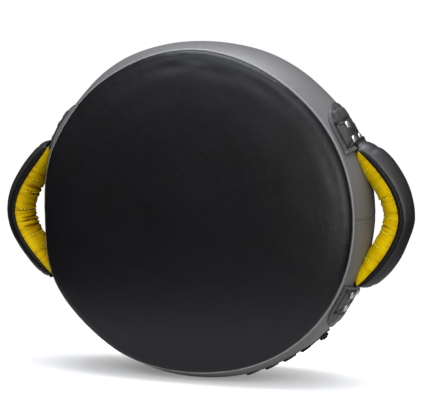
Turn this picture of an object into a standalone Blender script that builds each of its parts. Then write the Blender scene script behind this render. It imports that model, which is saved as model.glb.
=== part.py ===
"""Round leather punching shield, a drum of foam in a laced leather cover with a padded handle at each side.

The shield stands on its rim. X runs to the right of the striking face, Y runs from the face to the back and
Z runs up. The origin is on the floor, under the middle of the shield.
"""

import bisect
import math

import bmesh
import bpy
import numpy as np
from mathutils import Matrix, Vector

MM = 0.001

# Leather cover of the drum
LEATHER = 1.6 * MM
GAP = 0.3 * MM
SEAM_RADIUS = 245.0 * MM
SEAM_DEPTH = 128.0 * MM
GIRTH_BULGE = 19.0 * MM
BULGE_POWER = 2.45
WALL_ROWS = (0.87, 0.66, 0.43, 0.2)
SEAM_ALLOWANCE = 8.0 * MM
RING_CLEARANCE = 1.2 * MM
FOLD_WIDTH = 2.6 * MM
STAND_FLATTENING = 3.5 * MM
STAND_HALF_ANGLE = math.radians(5.0)
SEGMENTS = 40

# Striking face and back panel
FACE_RISE = 19.5 * MM
FACE_SHOULDER = 45.0 * MM
BACK_RISE = 10.0 * MM
BACK_SHOULDER = 16.0 * MM

# Piping between the panels
PIPING_RADIUS = 2.0 * MM
PIPING_TONGUE = 1.4 * MM

# Butt seams of the side wall, at three and nine o'clock
HEM_LENGTH = 10.0 * MM

# Laced closure along the bottom of the side wall
CLOSURE_Y = -4.0 * MM
CLOSURE_GAP = 5.0 * MM
CLOSURE_HEM = 9.5 * MM
PRESS_FADE = 6.0 * MM
LACE_RADIUS = 1.3 * MM
LACE_GAP = 0.4 * MM
LACE_HOLE_RADIUS = 2.7 * MM
LACE_HOLE_SIDES = 6
LACE_SHARPEST = math.radians(74)
LACE_HOLE_OFFSET = 8.0 * MM
LACE_CROSSINGS = 12
LACE_PITCH = math.radians(7.0)
LACE_SLANT = math.radians(4.1)
LACE_START = math.radians(-48.9)
LACE_TAIL_HOLE = math.radians(-41.0)
KNOT_ANGLE = math.radians(-44.9)
KNOT_TURNS = 17 / 6
KNOT_PITCH = 3.6 * MM
KNOT_CLEARANCE = 0.72 * MM
FLAP_HALF_WIDTH = 22.0 * MM
FLAP_THICKNESS = 1.2 * MM
FLAP_SEAM_STEP = 5.0 * MM
FLAP_SEAM_WIDTH = 9.0 * MM
CHANNEL_CLEARANCE = 1.3 * MM

# Padded handles
HANDLE_SHIFT = -12.0 * MM
HANDLE_HALF_LENGTH = 101.0 * MM
HANDLE_HALF_WIDTH = 28.0 * MM
FINGER_GAP = 19.5 * MM
OUTER_PAD = 22.5 * MM
INNER_PAD = 23.5 * MM
SPINE_POWER = 1.7
SPINE_END_RISE = 3.3 * MM
END_ROUNDING = 10
SHELL_END_LENGTH = 4.6 * MM
SHELL_END_STATIONS = (0.5, 0.92)
RIGHT_TILT = math.radians(0.4)
LEFT_TILT = math.radians(1.3)
HANDLE_LEATHER = 1.8 * MM
GRIP_FABRIC = 1.4 * MM
EDGE_ROLL_HEIGHT = 4.2 * MM
EDGE_ROLL_WIDTH = 2.6 * MM
EDGE_ROLL_RAISE = 4.2 * MM
PADDING_CLEARANCE = 0.8 * MM
INNER_CLEARANCE = 3.0 * MM
PADDING_REST = 5.4 * MM
REST_GAP = 0.5 * MM
SHELL_UNDER_POINTS = 6
GRIP_UNDER_POINTS = 7
HANDLE_STATIONS = (0.09, 0.28, 0.46, 0.64, 0.81, 0.92, 1.0)

# Webbing strap through each handle, and its ends under the patches
STRAP_HALF_WIDTH = 22.0 * MM
STRAP_THICKNESS = 1.8 * MM
STRAP_END_LENGTH = 60.0 * MM
STRAP_LIFT = 1.6 * MM

# Leather patches over the strap ends
PATCH_LENGTH = 76.0 * MM
PATCH_HALF_WIDTH = 44.0 * MM
PATCH_LEATHER = 1.8 * MM
PATCH_SEAT = 0.5 * MM
PATCH_END_GAP = math.radians(0.55)
PATCH_ROUNDING = 6
PATCH_STEP = 3.5 * MM

# Rivets through patch, strap and side wall
RIVET_CAP_RADIUS = 6.8 * MM
RIVET_CAP_RISE = 2.4 * MM
RIVET_CAP_RIM = 0.6 * MM
RIVET_SHANK_RADIUS = 1.8 * MM
RIVET_HOLE_CLEARANCE = 0.5 * MM
RIVET_PEEN = 0.6 * MM
RIVET_SPACING = 30.0 * MM
RIVET_PAIR_INSET = 14.0 * MM
RIVET_SINGLE_INSET = 37.0 * MM
RIVET_SINGLE_SHIFT = -12.0 * MM
BURR_RADIUS = 5.5 * MM
BURR_THICKNESS = 1.0 * MM
BURR_SEAT = 0.9 * MM
RIVET_SIDES = 8
CUTTER_LENGTH = 24.0 * MM

# Places worked out from the sizes above
GIRTH_RADIUS = SEAM_RADIUS + GIRTH_BULGE
STAND_HEIGHT = GIRTH_RADIUS - STAND_FLATTENING
MIDDLE_Y = (FACE_RISE - BACK_RISE) / 2
HALF_DEPTH = SEAM_DEPTH / 2
STEP_ANGLE = 2 * math.pi / SEGMENTS
FLANGE_OFFSET = PIPING_TONGUE / 2 + GAP
HEM_ANGLE = HEM_LENGTH / GIRTH_RADIUS
LACE_PRESS = 2 * LACE_RADIUS + LACE_GAP + GAP
CLOSURE_EDGE = CLOSURE_GAP / 2 + CLOSURE_HEM
LACE_END = LACE_START - (LACE_CROSSINGS - 1) * LACE_PITCH - LACE_SLANT
UNDER_LACE_DEPTH = 2 * LEATHER + 3 * LACE_GAP + LACE_RADIUS
OVER_LACE_DEPTH = -(LACE_GAP + LACE_RADIUS)
FLAP_DEPTH = UNDER_LACE_DEPTH + LACE_RADIUS + LACE_GAP
CHANNEL_DEPTH = FLAP_DEPTH + FLAP_THICKNESS + CHANNEL_CLEARANCE
CHANNEL_HALF_WIDTH = WALL_ROWS[2] * HALF_DEPTH + 1e-6
FOAM_DEPTH = LEATHER + GAP
POCKET_DEPTH = LEATHER + BURR_SEAT + BURR_THICKNESS + RIVET_PEEN + 2 * GAP
STRAP_SEAT = 0.4 * MM
STRAP_TOP = STRAP_SEAT + STRAP_THICKNESS
PATCH_RAISE = STRAP_TOP + GAP
SPINE_REACH = GIRTH_RADIUS + FINGER_GAP + INNER_PAD
SPINE_END_X = math.sqrt((GIRTH_RADIUS + SPINE_END_RISE) ** 2 - HANDLE_HALF_LENGTH ** 2)
SPINE_DROP = SPINE_REACH - SPINE_END_X
PATCH_START = math.atan2(HANDLE_HALF_LENGTH, SPINE_END_X) + PATCH_END_GAP
PATCH_SPAN = PATCH_LENGTH / GIRTH_RADIUS
PADDING_HALF_LENGTH = HANDLE_STATIONS[-2] * HANDLE_HALF_LENGTH
SHELL_HALF_LENGTH = HANDLE_HALF_LENGTH + SHELL_END_LENGTH
SHELL_REST = STRAP_LIFT + PATCH_RAISE + PATCH_LEATHER + GAP


def clear_scene():
    for item in list(bpy.data.objects):
        bpy.data.objects.remove(item)


def make_material(name, colour, roughness, metallic=0.0):
    material = bpy.data.materials.new(name)
    material.use_nodes = True
    shader = material.node_tree.nodes["Principled BSDF"]
    shader.inputs["Base Color"].default_value = (*colour, 1.0)
    shader.inputs["Roughness"].default_value = roughness
    shader.inputs["Metallic"].default_value = metallic
    return material


def make_materials():
    return {
        "black_leather": make_material("black_leather", (0.018, 0.018, 0.020), 0.42),
        "grey_leather": make_material("grey_leather", (0.20, 0.20, 0.21), 0.45),
        "grey_piping": make_material("grey_piping", (0.24, 0.24, 0.25), 0.40),
        "yellow_fabric": make_material("yellow_fabric", (0.62, 0.46, 0.01), 0.70),
        "black_webbing": make_material("black_webbing", (0.012, 0.012, 0.013), 0.80),
        "black_lace": make_material("black_lace", (0.010, 0.010, 0.010), 0.60),
        "foam": make_material("foam", (0.55, 0.54, 0.50), 0.90),
        "nickel": make_material("nickel", (0.75, 0.74, 0.72), 0.20, 1.0),
    }


def add_object(name, mesh, material, frame, sharp_angle=40.0):
    """Put a mesh into the scene under the shield's frame."""
    mesh.shade_smooth()
    mesh.set_sharp_from_angle(angle=math.radians(sharp_angle))
    if not mesh.materials:
        mesh.materials.append(material)
    item = bpy.data.objects.new(name, mesh)
    bpy.context.collection.objects.link(item)
    item.parent = frame
    return item


def mesh_from(name, builder):
    """Turn a bmesh into a mesh whose faces point outwards."""
    bmesh.ops.remove_doubles(builder, verts=builder.verts, dist=1e-7)
    bmesh.ops.recalc_face_normals(builder, faces=builder.faces)
    mesh = bpy.data.meshes.new(name)
    builder.to_mesh(mesh)
    builder.free()
    return mesh


def turned(name, profile, axis, steps):
    """Spin a profile of (radius, height) points about an axis; it is closed unless it ends on the axis."""
    builder = bmesh.new()
    height = Vector(axis)
    outward = Vector((1, 0, 0))
    verts = [builder.verts.new(outward * radius + height * along) for radius, along in profile]
    pairs = list(zip(verts, verts[1:]))
    if profile[0][0] > 0:
        pairs.append((verts[-1], verts[0]))
    edges = [builder.edges.new(pair) for pair in pairs]
    bmesh.ops.spin(builder, geom=verts + edges, axis=axis, cent=(0, 0, 0), angle=2 * math.pi, steps=steps,
                   use_merge=True)
    return mesh_from(name, builder)


def lofted(name, rings):
    """Join closed rings of points one after the other, with a face over each end."""
    builder = bmesh.new()
    loops = [[builder.verts.new(point) for point in ring] for ring in rings]
    count = len(loops[0])
    for near, far in zip(loops, loops[1:]):
        for k in range(count):
            following = (k + 1) % count
            builder.faces.new((near[k], near[following], far[following], far[k]))
    builder.faces.new(loops[0])
    builder.faces.new(loops[-1])
    return mesh_from(name, builder)


def panel(name, outer, inner, missing=()):
    """Make a sheet of leather from two grids of points, leaving out the missing cells."""
    builder = bmesh.new()
    top = [[builder.verts.new(point) for point in column] for column in outer]
    under = [[builder.verts.new(point) for point in column] for column in inner]
    cells = {(i, j) for i in range(len(outer) - 1) for j in range(len(outer[0]) - 1)} - set(missing)
    for i, j in sorted(cells):
        corners = ((i, j), (i + 1, j), (i + 1, j + 1), (i, j + 1))
        builder.faces.new([top[a][b] for a, b in corners])
        builder.faces.new([under[a][b] for a, b in reversed(corners)])
        beyond = ((i, j - 1), (i + 1, j), (i, j + 1), (i - 1, j))
        for k, cell in enumerate(beyond):
            if cell not in cells:
                (a, b), (c, d) = corners[k], corners[(k + 1) % 4]
                builder.faces.new((top[c][d], top[a][b], under[a][b], under[c][d]))
    return mesh_from(name, builder)


def offset_outline(outline, distance):
    """Move an open outline sideways, to the left of its direction, with mitred corners."""
    points = [Vector(point) for point in outline]
    moved = []
    for k, point in enumerate(points):
        before = (point - points[k - 1]).normalized() if k else (points[1] - point).normalized()
        after = (points[k + 1] - point).normalized() if k + 1 < len(points) else before
        left_before = Vector((-before.y, before.x))
        left_after = Vector((-after.y, after.x))
        mitre = (left_before + left_after).normalized()
        moved.append(point + mitre * distance / mitre.dot(left_after))
    return [(point.x, point.y) for point in moved]


def barrel_radius(y):
    """Radius of the side wall's outer face at a distance from the drum's middle."""
    share = min(abs(y) / HALF_DEPTH, 1.0)
    return SEAM_RADIUS + GIRTH_BULGE * (1 - share ** BULGE_POWER)


def barrel_slope(y):
    share = min(abs(y) / HALF_DEPTH, 1.0)
    return -math.copysign(GIRTH_BULGE * BULGE_POWER / HALF_DEPTH * share ** (BULGE_POWER - 1), y)


def press_at(y):
    """How far the closure is pressed in where the shield stands on it."""
    beyond = abs(y - CLOSURE_Y) - CLOSURE_EDGE
    return LACE_PRESS * (1 - min(max(beyond / PRESS_FADE, 0.0), 1.0))


def skin_point(angle, y, depth, pressed=None):
    """A point under the side wall's outer face, lifted where the shield stands on the floor."""
    radius = barrel_radius(y) - depth
    height = radius * math.sin(angle)
    lowest = -STAND_HEIGHT + depth + (press_at(y) if pressed is None else pressed)
    return Vector((radius * math.cos(angle), y, max(height, lowest)))


def face_outline():
    """Outer outline of the striking face, from its seam allowance to the middle, as (radius, forward)."""
    return [
        (SEAM_RADIUS - SEAM_ALLOWANCE, FLANGE_OFFSET),
        (SEAM_RADIUS - 1.0 * MM, FLANGE_OFFSET),
        (SEAM_RADIUS + 0.9 * MM, 0.14 * FACE_RISE),
        (SEAM_RADIUS + 0.9 * MM, 0.31 * FACE_RISE),
        (SEAM_RADIUS - 0.08 * FACE_SHOULDER, 0.56 * FACE_RISE),
        (SEAM_RADIUS - 0.31 * FACE_SHOULDER, 0.74 * FACE_RISE),
        (SEAM_RADIUS - FACE_SHOULDER, 0.88 * FACE_RISE),
        (0.55 * SEAM_RADIUS, 0.96 * FACE_RISE),
        (0.0, FACE_RISE),
    ]


def back_outline():
    """Outer outline of the back panel, from its seam allowance to the flat middle, as (radius, backward)."""
    return [
        (SEAM_RADIUS - SEAM_ALLOWANCE, FLANGE_OFFSET),
        (SEAM_RADIUS - 1.0 * MM, FLANGE_OFFSET),
        (SEAM_RADIUS + 0.9 * MM, 0.28 * BACK_RISE),
        (SEAM_RADIUS + 0.4 * MM, 0.55 * BACK_RISE),
        (SEAM_RADIUS - 0.28 * BACK_SHOULDER, 0.86 * BACK_RISE),
        (SEAM_RADIUS - BACK_SHOULDER, BACK_RISE),
        (0.0, BACK_RISE),
    ]


def cover_profile(outline, side):
    """Closed profile of a round panel as thick as its leather; side is -1 at the face and 1 at the back."""
    under = offset_outline(outline, LEATHER)
    under[0] = (outline[0][0], outline[0][1] + LEATHER)
    under[-1] = (0.0, outline[-1][1] - LEATHER)
    return [(radius, side * (HALF_DEPTH + out)) for radius, out in list(reversed(outline)) + under]


def make_round_panel(name, outline, side, material, frame):
    mesh = turned(name, cover_profile(outline, side), (0, 1, 0), SEGMENTS)
    return add_object(name, mesh, material, frame)


def make_end_foam(name, outline, side, material, frame):
    """Foam that fills the bulge of a round panel, stepped over the stitched edges of the cover."""
    filled = offset_outline(outline, LEATHER + GAP)[3:]
    filled[-1] = (0.0, outline[-1][1] - LEATHER - GAP)
    stack = FLANGE_OFFSET + LEATHER + GAP
    ring = SEAM_RADIUS - SEAM_ALLOWANCE - RING_CLEARANCE
    edge = [(0.0, GAP / 2), (ring, GAP / 2), (ring, stack), (SEAM_RADIUS - FOLD_WIDTH, stack)]
    profile = [(radius, side * (HALF_DEPTH + out)) for radius, out in edge + filled]
    return add_object(name, turned(name, profile, (0, 1, 0), SEGMENTS), material, frame)


def make_piping(name, side, material, frame):
    """Leather cord with a flat tongue that is sewn in between two panels."""
    centre = SEAM_RADIUS + PIPING_RADIUS
    bead = [math.radians(a) for a in (150, 75, 0, -75, -150)]
    profile = [(SEAM_RADIUS - SEAM_ALLOWANCE, PIPING_TONGUE / 2)]
    profile += [(centre + PIPING_RADIUS * math.cos(a), PIPING_RADIUS * math.sin(a)) for a in bead]
    profile += [(SEAM_RADIUS - SEAM_ALLOWANCE, -PIPING_TONGUE / 2)]
    placed = [(radius, side * HALF_DEPTH + along) for radius, along in profile]
    return add_object(name, turned(name, placed, (0, 1, 0), SEGMENTS), material, frame)


def step_angles(first, last):
    """Whole steps between two angles, and the two edges of the flat that the shield stands on."""
    steps = round((last - first) / STEP_ANGLE)
    angles = [first + k * STEP_ANGLE for k in range(steps + 1)]
    edges = (-math.pi / 2 - STAND_HALF_ANGLE, -math.pi / 2 + STAND_HALF_ANGLE)
    return sorted(angles + [angle for angle in edges if first < angle < last])


def laid_point(angle, y, depth):
    """A point that follows the straight stretches between the lower wall's columns, as the lace does."""
    columns = step_angles(-math.pi, 0.0)
    k = bisect.bisect(columns, angle)
    share = (angle - columns[k - 1]) / (columns[k] - columns[k - 1])
    return skin_point(columns[k - 1], y, depth).lerp(skin_point(columns[k], y, depth), share)


def wall_angles(first, last, fine_zones):
    """Angles of the side wall's columns between two butt seams, closer together in the fine zones."""
    seam = GAP / 2 / GIRTH_RADIUS
    angles = {first + seam, first + HEM_ANGLE, first + 1.4 * HEM_ANGLE}
    angles |= {last - seam, last - HEM_ANGLE, last - 1.4 * HEM_ANGLE}
    angles |= set(step_angles(first, last)[1:-1])
    for k in range(round((last - first) / STEP_ANGLE)):
        middle = first + (k + 0.5) * STEP_ANGLE
        if any(low <= middle <= high for low, high in fine_zones):
            angles.add(middle)
    return sorted(angles)


def patch_zones():
    """Angles that the four patches cover, one pair for each."""
    zones = []
    for _, side, level in corners():
        ends = (patch_angle(side, level, -STEP_ANGLE / 8 * GIRTH_RADIUS), patch_angle(side, level, PATCH_LENGTH))
        zones.append((min(ends), max(ends)))
    return zones


def closure_zone():
    """Lowest and highest angle of the laced opening, on whole steps."""
    return math.floor(LACE_END / STEP_ANGLE) * STEP_ANGLE, math.ceil(LACE_START / STEP_ANGLE) * STEP_ANGLE


def wall_depth(angle, y, first, last):
    """Thickness of the side wall: leather, doubled where its edge is folded under."""
    low, high = closure_zone()
    in_closure = low - 0.01 <= angle <= high + 0.01 and abs(y - CLOSURE_Y) <= CLOSURE_EDGE + 1e-6
    at_seam = min(angle - first, last - angle) <= HEM_ANGLE + 1e-6
    return 2 * LEATHER if in_closure or at_seam else LEATHER


def wall_column(angle, rows, first, last):
    """Outer and inner points of one column of the side wall, with the seam allowances turned in."""
    outer, inner = [], []
    for side in (-1, 1):
        flange = side * (HALF_DEPTH - FLANGE_OFFSET)
        fold = side * (HALF_DEPTH - FLANGE_OFFSET - LEATHER)
        ring = ((SEAM_RADIUS - SEAM_ALLOWANCE, flange), (SEAM_RADIUS - 1.0 * MM, flange))
        under = ((SEAM_RADIUS - SEAM_ALLOWANCE, fold), (SEAM_RADIUS - 1.0 * MM - LEATHER / 2, fold))
        out = [Vector((radius * math.cos(angle), y, radius * math.sin(angle))) for radius, y in ring]
        down = [Vector((radius * math.cos(angle), y, radius * math.sin(angle))) for radius, y in under]
        if side < 0:
            outer, inner = out, down
            outer += [skin_point(angle, y, 0.0) for y in rows]
            inner += [skin_point(angle, y, wall_depth(angle, y, first, last)) for y in rows]
        else:
            outer += reversed(out)
            inner += reversed(down)
    return outer, inner


def plain_rows(shares=WALL_ROWS):
    front = [-share * HALF_DEPTH for share in shares]
    return front + [-y for y in reversed(front)]


def closure_rows():
    """Rows of the lower wall, with the two lips of the laced opening in the middle."""
    outer = [-share * HALF_DEPTH for share in WALL_ROWS[:-1]]
    fade = CLOSURE_EDGE + PRESS_FADE
    lips = [CLOSURE_Y + off for off in (-fade, -CLOSURE_EDGE, -CLOSURE_GAP / 2)]
    lips += [CLOSURE_Y + off for off in (CLOSURE_GAP / 2, CLOSURE_EDGE, fade)]
    return outer + lips + [-y for y in reversed(outer)]


def make_upper_wall(material, frame, cutters):
    angles = wall_angles(0.0, math.pi, patch_zones())
    columns = [wall_column(angle, plain_rows(), 0.0, math.pi) for angle in angles]
    mesh = panel("upper_gusset", [c[0] for c in columns], [c[1] for c in columns])
    wall = add_object("upper_gusset", mesh, material, frame)
    cut(wall, cutters["rivets"])
    return wall


def make_lower_wall(material, frame, cutters):
    """Lower half of the side wall, slit along the closure, with hemmed lips and punched lace holes."""
    low, high = closure_zone()
    angles = wall_angles(-math.pi, 0.0, patch_zones())
    rows = closure_rows()
    columns = [wall_column(angle, rows, -math.pi, 0.0) for angle in angles]
    slit_row = 2 + rows.index(CLOSURE_Y - CLOSURE_GAP / 2)
    slit = [(i, slit_row) for i, (a, b) in enumerate(zip(angles, angles[1:])) if low - 0.01 < a and b < high + 0.01]
    mesh = panel("lower_gusset", [c[0] for c in columns], [c[1] for c in columns], slit)
    wall = add_object("lower_gusset", mesh, material, frame)
    cut(wall, cutters["rivets"])
    cut(wall, cutters["lace"])
    return wall


def cut(item, cutter):
    modifier = item.modifiers.new(cutter.name, "BOOLEAN")
    modifier.operation = "DIFFERENCE"
    modifier.solver = "EXACT"
    modifier.object = cutter


def core_point(angle, y):
    """A point of the core: below the channel behind the laces, the rivets' burrs and the hems, or the plain wall."""
    low, high = closure_zone()
    if low - 2.01 * STEP_ANGLE <= angle <= high + 2.01 * STEP_ANGLE and abs(y) <= CHANNEL_HALF_WIDTH:
        return skin_point(angle, y, CHANNEL_DEPTH, LACE_PRESS)
    in_patch = any(start - STEP_ANGLE <= angle <= end + STEP_ANGLE for start, end in patch_zones())
    at_seam = abs(math.sin(angle)) < 1e-6
    return skin_point(angle, y, POCKET_DEPTH if in_patch or at_seam else FOAM_DEPTH)


def make_core_foam(material, frame):
    """Main foam block, with a channel behind the laces and hollows behind the rivets and hems."""
    ring = SEAM_RADIUS - SEAM_ALLOWANCE - RING_CLEARANCE
    stack = HALF_DEPTH - FLANGE_OFFSET - LEATHER - GAP
    rows = plain_rows()
    angles = step_angles(-math.pi, math.pi)[:-1]
    rings = [[core_point(a, y) for a in angles] for y in rows]
    for y in (-stack, GAP / 2 - HALF_DEPTH):
        rings.insert(0, [Vector((ring * math.cos(a), y, ring * math.sin(a))) for a in angles])
    for y in (stack, HALF_DEPTH - GAP / 2):
        rings.append([Vector((ring * math.cos(a), y, ring * math.sin(a))) for a in angles])
    return add_object("core_foam", lofted("core_foam", rings), material, frame)


def make_closure_flap(material, frame):
    """Inner flap behind the laces, stitched to the lower wall along its rear edge."""
    low, high = closure_zone()
    angles = step_angles(low - STEP_ANGLE, high + STEP_ANGLE)
    inset = FLAP_HALF_WIDTH - FLAP_SEAM_WIDTH
    profile = [(-FLAP_HALF_WIDTH, FLAP_DEPTH, LACE_PRESS), (0.0, FLAP_DEPTH, LACE_PRESS),
               (inset, FLAP_DEPTH, LACE_PRESS), (inset + FLAP_SEAM_STEP, LEATHER + 2 * GAP, None),
               (FLAP_HALF_WIDTH, LEATHER + 2 * GAP, None)]
    outer = [[skin_point(a, CLOSURE_Y + off, depth, press) for off, depth, press in profile] for a in angles]
    inner = [[skin_point(a, CLOSURE_Y + off, depth + FLAP_THICKNESS, press) for off, depth, press in profile]
             for a in angles]
    return add_object("closure_flap", panel("closure_flap", outer, inner), material, frame)


def softened(points):
    """Cut each corner of a route that is sharper than the lace can bend."""
    smooth = [points[0]]
    for before, corner, after in zip(points, points[1:], points[2:]):
        if (corner - before).angle(after - corner) > LACE_SHARPEST:
            smooth += [corner.lerp(before, 0.3), corner.lerp(after, 0.3)]
        else:
            smooth.append(corner)
    return smooth + [points[-1]]


def knot_points():
    """Strangle knot: the lace runs through its own coil, winds back round itself and runs through again."""
    strand = LACE_RADIUS + KNOT_CLEARANCE / 2
    coil = strand + 2 * LACE_RADIUS + KNOT_CLEARANCE
    reach = KNOT_TURNS * KNOT_PITCH / 2
    ends = [(1.0 * MM, 0.0, strand), (-0.3 * MM, 0.3 * MM, strand), (-0.9 * MM, 1.4 * MM, strand - 0.1 * MM),
            (-0.6 * MM, 2.9 * MM, strand - 0.1 * MM)]
    first = [(reach - back, -across, up) for back, up, across in ends]
    last = [(back - reach, across, up) for back, up, across in reversed(ends)]
    winding = []
    count = round(KNOT_TURNS * 10)
    for k in range(count + 1):
        turn = math.pi / 2 * (1 + 1 / 3) + 2 * math.pi * KNOT_TURNS * k / count
        winding.append((reach - 2 * reach * k / count, coil * math.cos(turn), coil * math.sin(turn)))
    lead = [(-reach - 6.0 * MM, -strand, -1.5 * MM), (-reach - 3.0 * MM, -strand, 0.0), (0.0, -strand, 0.0)]
    leave = [(0.0, strand, 0.0), (reach + 3.0 * MM, strand, 0.0)]
    lift = coil + LACE_RADIUS + LACE_GAP
    points = []
    for along, across, up in lead + first + winding + last + leave:
        points.append(laid_point(KNOT_ANGLE - along / GIRTH_RADIUS, CLOSURE_Y + across, -(lift + up)))
    return points


def lace_points():
    """Route of the lace: tail hole, knot, then twelve slanted bars with a hidden run under the lips after each."""
    degree = math.radians(1.0)
    route = [(LACE_TAIL_HOLE - 1.2 * degree, 0.0, UNDER_LACE_DEPTH), (LACE_TAIL_HOLE - 0.2 * degree, 0.0, 3.0 * MM),
             (LACE_TAIL_HOLE, 0.0, 0.5 * MM), (LACE_TAIL_HOLE - 0.15 * degree, 0.0, -2.0 * MM)]
    points = [laid_point(angle, CLOSURE_Y + off, depth) for angle, off, depth in route]
    points += knot_points()
    over, under = OVER_LACE_DEPTH, UNDER_LACE_DEPTH
    hole = LACE_HOLE_OFFSET
    bar = ((0.0, hole, LEATHER), (0.07, hole - 1.1 * MM, over + 0.15 * MM), (0.27, 0.56 * hole, over),
           (0.5, 0.0, over), (0.73, -0.56 * hole, over), (0.93, -hole + 1.1 * MM, over + 0.15 * MM),
           (1.0, -hole, LEATHER))
    run = ((0.09, -hole + 1.1 * MM, under - 0.1 * MM), (0.5, 0.0, under), (0.91, hole - 1.1 * MM, under - 0.1 * MM))
    for k in range(LACE_CROSSINGS):
        start = LACE_START - k * LACE_PITCH
        first = bar[2:] if k == 0 else bar
        points += [laid_point(start - share * LACE_SLANT, CLOSURE_Y + off, depth) for share, off, depth in first]
        length = LACE_PITCH - LACE_SLANT
        last = run[:2] if k == LACE_CROSSINGS - 1 else run
        points += [laid_point(start - LACE_SLANT - share * length, CLOSURE_Y + off, depth) for share, off, depth in last]
    return softened(points)


def least_gap(points, radius):
    """Least gap between parts of a cord that lie more than three diameters apart along it."""
    route = []
    for near, far in zip(points, points[1:]):
        route += [near.lerp(far, share) for share in (0.0, 0.25, 0.5, 0.75)]
    places = np.array([tuple(point) for point in route])
    along = np.concatenate([[0.0], np.cumsum(np.linalg.norm(np.diff(places, axis=0), axis=1))])
    apart = np.linalg.norm(places[:, None] - places[None], axis=2)
    far_apart = np.abs(along[:, None] - along[None]) > 6 * radius
    return float(apart[far_apart].min()) - 2 * radius


def make_lace(material, frame):
    points = lace_points()
    print("least gap of the lace to itself, mm:", round(least_gap(points, LACE_RADIUS) * 1000, 2))
    curve = bpy.data.curves.new("closure_lace", "CURVE")
    curve.dimensions = "3D"
    curve.bevel_depth = LACE_RADIUS
    curve.bevel_resolution = 1
    curve.use_fill_caps = True
    spline = curve.splines.new("POLY")
    spline.points.add(len(points) - 1)
    for place, point in zip(spline.points, points):
        place.co = (*point, 1.0)
    curve.materials.append(material)
    item = bpy.data.objects.new("closure_lace", curve)
    bpy.context.collection.objects.link(item)
    item.parent = frame
    return item


def make_lace_hole_cutter(frame):
    """Punches for the lace holes, square to the side wall."""
    places = [(LACE_TAIL_HOLE, CLOSURE_Y)]
    for k in range(LACE_CROSSINGS):
        start = LACE_START - k * LACE_PITCH
        if k:
            places.append((start, CLOSURE_Y + LACE_HOLE_OFFSET))
        places.append((start - LACE_SLANT, CLOSURE_Y - LACE_HOLE_OFFSET))
    return make_cutter("lace_hole_cutter", places, laid_point, LACE_HOLE_RADIUS, LACE_HOLE_SIDES, frame)


def wall_frame(angle, y, depth, place):
    """Matrix under a place on the side wall, its Z pointing straight out of the leather."""
    out = Vector((math.cos(angle), -barrel_slope(y), math.sin(angle))).normalized()
    around = Vector((-math.sin(angle), 0.0, math.cos(angle)))
    across = out.cross(around)
    turn = Matrix((around, across, out)).transposed().to_4x4()
    return Matrix.Translation(place - out * depth) @ turn


def make_cutter(name, places, placed_at, radius, sides, frame):
    builder = bmesh.new()
    for angle, y in places:
        bmesh.ops.create_cone(builder, cap_ends=True, segments=sides, radius1=radius, radius2=radius,
                              depth=CUTTER_LENGTH, matrix=wall_frame(angle, y, 0.0, placed_at(angle, y, 0.0)))
    item = add_object(name, mesh_from(name, builder), None, frame)
    item.display_type = "WIRE"
    item.hide_render = True
    return item


def tilt(side):
    """How far a handle and its patches are turned round the drum: both sit a little off three and nine o'clock."""
    return RIGHT_TILT if side > 0 else LEFT_TILT


def patch_angle(side, level, along):
    """Angle of a place along a patch; side is 1 at the right, level is 1 above the handle."""
    angle = PATCH_START + along / GIRTH_RADIUS
    if side < 0:
        angle = math.pi - angle
    return level * angle + tilt(side)


def rivet_places(side, level):
    spread = RIVET_SPACING / 2
    return [(patch_angle(side, level, RIVET_PAIR_INSET), HANDLE_SHIFT - spread),
            (patch_angle(side, level, RIVET_PAIR_INSET), HANDLE_SHIFT + spread),
            (patch_angle(side, level, RIVET_SINGLE_INSET), HANDLE_SHIFT + RIVET_SINGLE_SHIFT)]


def corners():
    """The four patches' names, sides and levels."""
    for side, side_name in ((1, "right"), (-1, "left")):
        for level, level_name in ((1, "upper"), (-1, "lower")):
            yield f"{side_name}_{level_name}", side, level


def make_rivet_hole_cutter(frame):
    places = [place for _, side, level in corners() for place in rivet_places(side, level)]
    radius = RIVET_SHANK_RADIUS + RIVET_HOLE_CLEARANCE
    return make_cutter("rivet_hole_cutter", places, skin_point, radius, RIVET_SIDES, frame)


def make_rivets(material, frame):
    """Domed rivets, each with its shank through to a burr inside the cover."""
    stack = PATCH_RAISE + PATCH_LEATHER + GAP
    shank = stack + LEATHER + BURR_SEAT + BURR_THICKNESS + RIVET_PEEN
    cap = [(0.0, RIVET_CAP_RIM + RIVET_CAP_RISE), (0.72 * RIVET_CAP_RADIUS, RIVET_CAP_RIM + 0.55 * RIVET_CAP_RISE),
           (RIVET_CAP_RADIUS, RIVET_CAP_RIM), (RIVET_CAP_RADIUS, 0.0), (RIVET_SHANK_RADIUS, 0.0),
           (RIVET_SHANK_RADIUS, -shank), (0.0, -shank)]
    rivet = turned("rivet", cap, (0, 0, 1), RIVET_SIDES)
    hole = RIVET_SHANK_RADIUS + RIVET_HOLE_CLEARANCE
    washer = [(hole, 0.0), (BURR_RADIUS, 0.0), (BURR_RADIUS, -BURR_THICKNESS), (hole, -BURR_THICKNESS)]
    burr = turned("burr", washer, (0, 0, 1), RIVET_SIDES)
    for name, side, level in corners():
        for k, (angle, y) in enumerate(rivet_places(side, level), start=1):
            place = skin_point(angle, y, 0.0)
            item = add_object(f"{name}_rivet_{k}", rivet, material, frame)
            item.matrix_local = wall_frame(angle, y, -stack, place)
            item = add_object(f"{name}_burr_{k}", burr, material, frame)
            item.matrix_local = wall_frame(angle, y, LEATHER + BURR_SEAT, place)


def patch_width(share):
    """Half width of a patch along its length: straight sides, then a rounded far end."""
    return PATCH_HALF_WIDTH * math.sqrt(1 - share ** PATCH_ROUNDING)


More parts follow.
